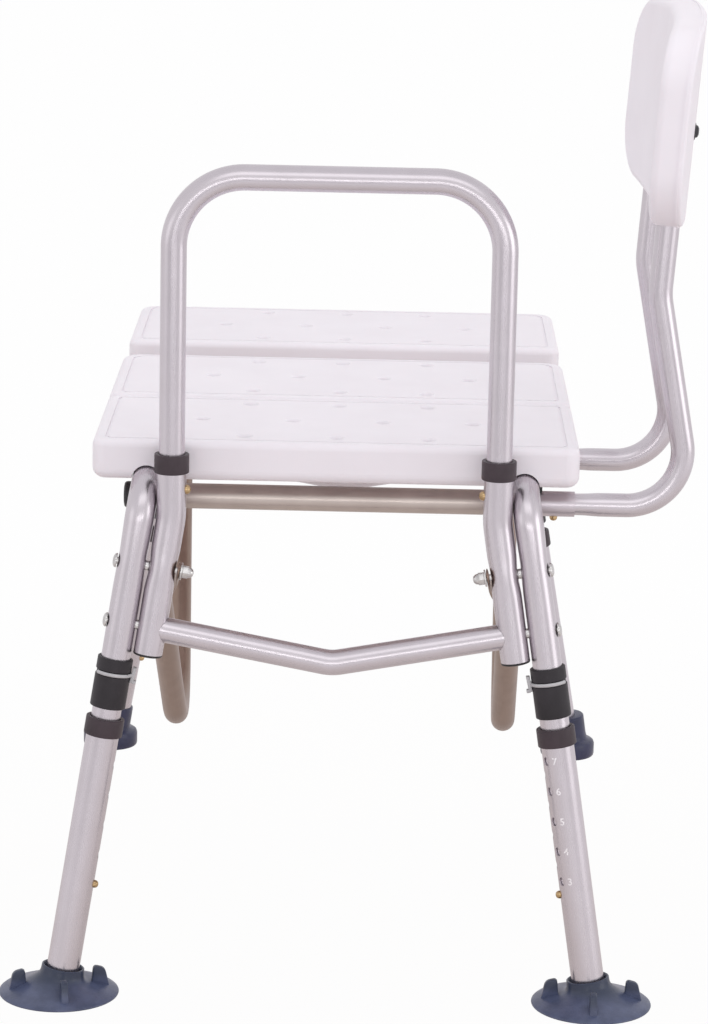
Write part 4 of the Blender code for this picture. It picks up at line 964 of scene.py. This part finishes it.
def snap_button(name, body, place, bore, outer, radius, cad_node):
    """A dome on a thin folded band that lies inside its tube, with room behind it for the dome's travel."""
    reach = math.sqrt((bore * 0.92 - 0.0003) ** 2 - BAND_HALF ** 2)
    back = reach - BUTTON_TRAVEL - BAND_THICK
    tip = outer + BUTTON_TRAVEL
    dome = [(0, tip), (radius * 0.35, tip - radius * 0.05), (radius * 0.66, tip - radius * 0.20),
            (radius * 0.88, tip - radius * 0.46), (radius * 0.98, tip - radius * 0.80),
            (radius, tip - radius * 1.1), (radius, reach - 0.0004), (0, reach - 0.0004)]
    button = turned(dome, sideways(Matrix()), 28)
    band = bmesh.new()
    across = Vector((0, BAND_HALF, 0))
    line = [(reach - 0.0004, -0.006), (reach - 0.0004, 0.010), (0.0012, 0.0408), (0.0, 0.0420),
            (-0.0012, 0.0408), (-back, 0.012), (-back, 0.0)]
    low = [band.verts.new(Vector((x, 0, z)) - across) for x, z in line]
    edges = [band.edges.new((a, b)) for a, b in zip(low, low[1:])]
    edges, verts = extruded(band, edges)
    bmesh.ops.translate(band, verts=verts, vec=across * 2)
    bmesh.ops.recalc_face_normals(band, faces=band.faces)
    bmesh.ops.solidify(band, geom=list(band.faces), thickness=BAND_THICK)
    finish_piece(name, moved(together(button, band), place), BRASS, body, [cad_node])


for label, (end, side) in LEGS.items():
    place = raised(leg_frame(end, side), BUTTON_UP)
    snap_button(f"leg_snap_{label}", f"snap_leg_{label}", place, TUBE - TUBE_WALL, LEG, BUTTON,
                f"leg_button_{label}")
for side in SIDES:
    snap_button(f"arm_snap_{side}", f"snap_arm_{side}", arm_button_frame(side), HOOP - TUBE_WALL, TUBE,
                ARM_BUTTON, f"arm_button_{side}")


# Backrest: a curved blow-moulded polyethylene panel with a parting rim, on two bent 21 mm aluminium tubes
# whose swaged ends slide into the cross tubes. A dark screw holds the panel to each tube.
BACK_TUBE = 0.0104
BACK_BOTTOM = 0.6755
BACK_HALF = 0.187
BACK_TALL = 0.180
BACK_LEAN = 0.069
BACK_MIDDLE_X = 0.1875
BACK_THICK = 0.0285
BACK_SWEEP = 0.950
BACK_CORNER = 0.052
BACK_FRONT_RIM = 0.0090
BACK_REAR_RIM = 0.0030
BACK_TOP_ARCH = 0.0145
BACK_BOTTOM_ARCH = 0.0085
BACK_STRIPS = 24
BACK_TUBE_OFFSET = 0.0925
SOCKET_DEEP = 0.119
PARTING_TOP = 0.0034
PARTING_BOTTOM = 0.0052
PARTING_PROUD = 0.0011
WAIST = (0.2770, 0.613)
KNEE_Y = 0.3117
BACK_BENDS = (0.048, 0.060)
SWAGE = 0.913
SWAGE_END = 0.0793
SWAGE_RUN = 0.020
BACK_SCREW_UP = 0.0815

back_place = aimed((BACK_MIDDLE_X, WAIST[0] + BACK_LEAN * (BACK_BOTTOM - WAIST[1]), BACK_BOTTOM),
                   (0, 1, -BACK_LEAN), (-1, 0, 0))


def sweep_drop(x):
    return BACK_SWEEP - math.sqrt(BACK_SWEEP ** 2 - x ** 2)


def back_shell():
    half = BACK_THICK / 2
    bm = block((-BACK_HALF, 0.0, -half), (BACK_HALF, BACK_TALL, half))
    rounded_edges(bm, upright_edges(bm), BACK_CORNER, 14)
    for level, radius, segments in ((-half, BACK_FRONT_RIM, 7), (half, BACK_REAR_RIM, 4)):
        rounded_edges(bm, edges_at(bm, level), radius, segments)
    for level in (half - PARTING_TOP, half - PARTING_BOTTOM):
        bmesh.ops.bisect_plane(bm, geom=everything(bm), plane_co=(0, 0, level), plane_no=(0, 0, 1))
    bm.normal_update()
    parting = half - (PARTING_TOP + PARTING_BOTTOM) / 2
    band = [f for f in bm.faces if abs(f.normal.z) < 0.1 and abs(f.calc_center_median().z - parting) < 0.001]
    made = bmesh.ops.extrude_face_region(bm, geom=band)["geom"]
    bmesh.ops.delete(bm, geom=band, context="FACES")
    bm.normal_update()
    middle = Vector((0, BACK_TALL / 2, 0))
    for vert in [item for item in made if isinstance(item, bmesh.types.BMVert)]:
        outward = Vector((vert.normal.x, vert.normal.y, 0))
        if outward.dot(vert.co - middle) < 0:
            outward.negate()
        vert.co += outward.normalized() * PARTING_PROUD
    for index in range(1, BACK_STRIPS):
        x = -BACK_HALF + 2 * BACK_HALF * index / BACK_STRIPS
        bmesh.ops.bisect_plane(bm, geom=everything(bm), plane_co=(x, 0, 0), plane_no=(1, 0, 0))
    seat = sweep_drop(BACK_TUBE_OFFSET)
    for vert in bm.verts:
        share = vert.co.y / BACK_TALL * 2 - 1
        arch = BACK_TOP_ARCH if share > 0 else BACK_BOTTOM_ARCH
        vert.co.y -= arch * share * (vert.co.x / BACK_HALF) ** 2
        vert.co.z += seat - sweep_drop(vert.co.x)
    bmesh.ops.recalc_face_normals(bm, faces=bm.faces)
    return bm


sockets = []
for x in BACK_XS.values():
    upright = Matrix.Translation((BACK_MIDDLE_X - x, 0, 0)) @ Matrix.Rotation(-math.pi / 2, 4, "X")
    sockets.append(rod(BACK_TUBE + 0.0008, -0.03, SOCKET_DEEP, upright, 40))
shell = moved(carved(back_shell(), sockets), back_place)
finish_piece("back_shell", shell, WHITE_POLY, "backrest", ["backrest_panel"])


def swage(length):
    """A backrest tube's width at this distance from its lower end, as a share of its full width."""
    return SWAGE + (1 - SWAGE) * eased(risen(length, SWAGE_END, SWAGE_RUN))


for label, x in BACK_XS.items():
    top = BACK_BOTTOM + SOCKET_DEEP - 0.001
    corners = [(x, CROSS_REAR - 0.075, CROSS_Z), (x, KNEE_Y, CROSS_Z), (x, *WAIST),
               (x, WAIST[0] + BACK_LEAN * (top - WAIST[1]), top)]
    route = bent_route(corners, BACK_BENDS, math.radians(3), 0.006)
    post = tube_along(route, BACK_TUBE * SWAGE, 36, (True, False), scales=swage)
    finish_piece(f"back_post_{label}", carved(post, [back_button_hole(x)]), ANODISED, "backrest",
                 [f"backrest_tube_{label}"])
    place = aimed((x, BACK_BUTTON_Y, CROSS_Z), (0, -1, 0), (0, 0, -1))
    snap_button(f"back_snap_{label}", f"snap_backrest_{label}", place, BACK_TUBE * SWAGE - TUBE_WALL, CROSS,
                BUTTON, f"backrest_button_{label}")
    offset = x - BACK_MIDDLE_X
    rear = BACK_THICK / 2 - sweep_drop(offset) + sweep_drop(BACK_TUBE_OFFSET)
    spot = back_place @ Matrix.Translation((-offset, BACK_SCREW_UP, rear - 0.0004))
    cup = turned([(0.0068, 0.0009), (0.0076, 0.0005), (0.0078, 0.0), (0.0, 0.0), (0.0, 0.0007),
                  (0.0045, 0.0007)], spot, 32, closed=True)
    screw = pan_head(raised(spot, 0.0006), 0.0056, 0.0034)
    finish_piece(f"back_screw_{label}", together(cup, screw), DARK_BOLT, "backrest")


# Feet: moulded in soft navy rubber and pushed on the legs' ends. The arm end has suction cups with four
# pull lugs, and the far end has plain boots. Each one's socket leans with its leg.
CUP_TURN = {"front": math.radians(12), "rear": 0.0}

# Painted light and shade: the cup rubber is paler low on the skirt, where light is reflected, and darker on
# the socket above 8.5 to 17 mm.
CUP_RUBBER = moulded_plastic("cup_rubber_painted_light_and_shade", (0.082, 0.100, 0.176), (0.056, 0.070, 0.128),
                             0.33, 0.45, 520.0, 60.0)
faded_along(CUP_RUBBER, "Z", 0.0085, 0.0170, (0.030, 0.041, 0.076))
BOOT_RUBBER = moulded_plastic("boot_rubber", (0.034, 0.038, 0.092), (0.022, 0.026, 0.066),
                              0.32, 0.45, 520.0, 60.0)


def leaned(bm, end, side, start, rise, amount=1.0):
    """Moves a foot under its leg and leans what is above its base towards the leg's own line."""
    floor = leg_point(end, side, 0.0)
    line = Vector((0, 0, 1)).lerp(leg_up(end, side), amount)
    tilt = Vector((0, 0, 1)).rotation_difference(line).to_matrix().to_4x4()
    place = Matrix.Translation(floor) @ tilt
    for vert in bm.verts:
        upright = floor + vert.co
        vert.co = upright.lerp(place @ vert.co, eased(risen(vert.co.z, start, rise)))


def pull_lug(angle, floor):
    """A block on the skirt's edge with its outer side drawn in, its top rounded and its edges softened."""
    lug = block((0.0284, -0.0034, 0.0035), (0.0444, 0.0034, 0.0229))
    for vert in lug.verts:
        if vert.co.z > 0.01:
            if vert.co.x > 0.04:
                vert.co.x -= 0.0040
                vert.co.z -= 0.0026
            else:
                vert.co.x += 0.0018
            vert.co.y *= 0.85
    tops = [e for e in lug.edges if e.verts[0].co.z > 0.01 and e.verts[1].co.z > 0.01
            and abs(e.verts[0].co.y - e.verts[1].co.y) > 0.002]
    rounded_edges(lug, tops, 0.0034, 5)
    rounded_edges(lug, [e for e in lug.edges if e.calc_face_angle(0) > 0.9], 0.0009, 3)
    return moved(lug, Matrix.Translation(floor) @ Matrix.Rotation(angle, 4, "Z"))


for side in SIDES:
    skirt = [(0.0166, 0.0232), (0.0171, 0.0238), (0.0180, 0.0240), (0.0187, 0.0235), (0.0190, 0.0185),
             (0.0197, 0.0162), (0.0211, 0.0143), (0.0234, 0.0125), (0.0266, 0.0109), (0.0310, 0.0092),
             (0.0370, 0.0072), (0.0430, 0.0053), (0.0480, 0.0036), (0.0512, 0.0023), (0.0523, 0.0014),
             (0.0525, 0.0008), (0.0522, 0.0), (0.0500, 0.0), (0.0485, 0.0010), (0.0420, 0.0030),
             (0.0290, 0.0050), (0.0150, 0.0062), (0, 0.0065)]
    socket = [(0, 0.0113), (0.0146, 0.0113), (0.0146, 0.0190), (0.0152, 0.0208), (0.0164, 0.0224)]
    cup = turned(socket + skirt, Matrix(), 72)
    leaned(cup, "arm", side, start=0.0060, rise=0.0110)
    floor = leg_point("arm", side, 0.0)
    lugs = [pull_lug(math.pi / 2 * index + CUP_TURN[side], floor) for index in range(4)]
    finish_piece(f"suction_foot_{side}", together(cup, *lugs), CUP_RUBBER, f"leg_arm_{side}",
                 [f"suction_cup_{side}"])
    shape = [(0, 0.0440), (0.0170, 0.0440), (0.0190, 0.0436), (0.0199, 0.0426), (0.0201, 0.0410),
             (0.0202, 0.0240), (0.0205, 0.0206), (0.0213, 0.0186), (0.0232, 0.0174), (0.0260, 0.0167),
             (0.0276, 0.0155), (0.0285, 0.0130), (0.0285, 0.0030), (0.0281, 0.0010), (0.0272, 0.0), (0, 0.0)]
    boot = turned(shape, Matrix(), 56)
    leaned(boot, "far", side, start=0.0180, rise=0.0120, amount=0.5)
    boot = carved(boot, [rod(LEG + SNUG, LEG_FOOT - 0.0002, 0.06, leg_frame("far", side), 48)])
    finish_piece(f"boot_{side}", boot, BOOT_RUBBER, f"leg_far_{side}",
                 [f"rubber_boot_{side}"])


# Floor, lamps and camera: a pale floor with painted shade, under soft light, seen from the photograph's
# angle.
# The floor lies a leg's travel below the feet, so that it stays under them at every height setting.
LEG_TRAVEL = 0.1215


def white_to_rays(tree, sink, plain, white, shares):
    """Camera, glossy and transmission rays each meet this share of white in place of the plain shader."""
    path = tree.nodes.new("ShaderNodeLightPath")
    factor = None
    for label, share in shares.items():
        times = node(tree, "ShaderNodeMath", {"operation": "MULTIPLY_ADD"})
        times.inputs[1].default_value = share
        times.inputs[2].default_value = 0.0
        tree.links.new(path.outputs[label], times.inputs[0])
        if factor:
            tree.links.new(factor, times.inputs[2])
        factor = times.outputs["Value"]
    mixed = node(tree, "ShaderNodeMixShader", Fac=factor)
    tree.links.new(plain, mixed.inputs[1])
    tree.links.new(white, mixed.inputs[2])
    tree.links.new(mixed.outputs["Shader"], tree.nodes[sink].inputs["Surface"])


floor_bm = bmesh.new()
floor_place = Matrix.Translation((0, 0, -LEG_TRAVEL))
bmesh.ops.create_grid(floor_bm, x_segments=1, y_segments=1, size=12.0, matrix=floor_place)
floor = as_object("floor", floor_bm)
# Painted shade on the floor: darker and warmer near the bench, a painted shadow that the metal and seat also
# pick up, and darker again in front of the arm end, for the tubes to reflect. Camera rays still see it
# almost white.
shaded_floor_paint, tree, shader = principled("floor_painted_shade", (0.84, 0.80, 0.80), 0.75)
away = node(tree, "ShaderNodeVectorMath", {"operation": "LENGTH"}, Vector=object_place(tree))
reach = node(tree, "ShaderNodeMapRange", Value=away.outputs["Value"], From_Min=0.35, From_Max=1.7)
tones = blend_colours(tree, reach.outputs["Result"], (0.56, 0.45, 0.40), (0.88, 0.85, 0.86), 0.0, 1.0)
tree.links.new(tones, shader.inputs["Base Color"])
faded_along(shaded_floor_paint, "X", 1.9, 2.9, (0.46, 0.43, 0.47))
white = node(tree, "ShaderNodeEmission", Color=(1.0, 1.0, 1.0, 1.0), Strength=1.0)
white_to_rays(tree, "Material Output", shader.outputs["BSDF"], white.outputs["Emission"],
              {"Is Camera Ray": 0.97, "Is Glossy Ray": 0.40, "Is Transmission Ray": 0.40})
floor.data.materials.append(shaded_floor_paint)

world = bpy.data.worlds.new("studio")
bpy.context.scene.world = world
world.use_nodes = True
tree = world.node_tree
room = tree.nodes["Background"]
parts = node(tree, "ShaderNodeSeparateXYZ", Vector=tree.nodes.new("ShaderNodeTexCoord").outputs["Generated"])
tones = blend_colours(tree, parts.outputs["Z"], (1.0, 0.975, 1.0), (0.93, 0.91, 0.95), 0.05, 0.9)
tree.links.new(tones, room.inputs["Color"])
room.inputs["Strength"].default_value = 0.86
backdrop = node(tree, "ShaderNodeBackground", Color=(1.0, 1.0, 1.0, 1.0), Strength=1.0)
white_to_rays(tree, "World Output", room.outputs["Background"], backdrop.outputs["Background"],
              {"Is Camera Ray": 1.0, "Is Glossy Ray": 0.2, "Is Transmission Ray": 0.2})


def soft_lamp(name, place, target, size, power):
    lamp = bpy.data.lights.new(name, "AREA")
    lamp.shape = "RECTANGLE"
    lamp.size, lamp.size_y = size
    lamp.energy = power
    made = new_object(name, lamp)
    made.location = place
    made.rotation_euler = (Vector(target) - Vector(place)).to_track_quat("-Z", "Y").to_euler()
    return made


overhead = soft_lamp("overhead_lamp", (0.2, 0.3, 2.9), (0, 0, 0.4), (2.6, 2.6), 11.0)
overhead.visible_glossy = False
soft_lamp("high_front_lamp", (2.2, 0.2, 2.5), (0, 0, 0.4), (2.6, 1.2), 6.0)
soft_lamp("front_lamp", (4.0, 0.4, 0.6), (0, 0, 0.5), (3.4, 0.4), 10.0)
soft_lamp("right_lamp", (1.2, 2.9, 0.8), (0, 0, 0.4), (1.6, 1.4), 8.5)
soft_lamp("left_lamp", (1.6, -2.8, 0.8), (0, 0, 0.4), (1.6, 1.2), 2.2)

CAMERA_PLACE = Vector((3.5492954, 0.0404268, 1.1833232))
PITCH, YAW, ROLL = 0.2309666, -0.0074216, 0.0206191
LENS_PIXELS = 3829.98
way = Vector((-math.cos(PITCH) * math.cos(YAW), math.cos(PITCH) * math.sin(YAW), -math.sin(PITCH)))
right = way.cross(Vector((0, 0, 1))).normalized()
above = right.cross(way)
tilted = right * math.cos(ROLL) + above * math.sin(ROLL)
upward = above * math.cos(ROLL) - right * math.sin(ROLL)
lens = bpy.data.cameras.new("photo_camera")
lens.sensor_fit = "VERTICAL"
lens.sensor_height = 24.0
lens.lens = 24.0 * LENS_PIXELS / 1024
lens.clip_end = 60.0
camera = new_object("photo_camera", lens)
camera.matrix_world = BENCH_MIDDLE @ Matrix.Translation(CAMERA_PLACE) @ Matrix(
    (tilted, upward, -way)).transposed().to_4x4()
bpy.context.scene.camera = camera
bpy.context.scene.view_settings.view_transform = "Standard"
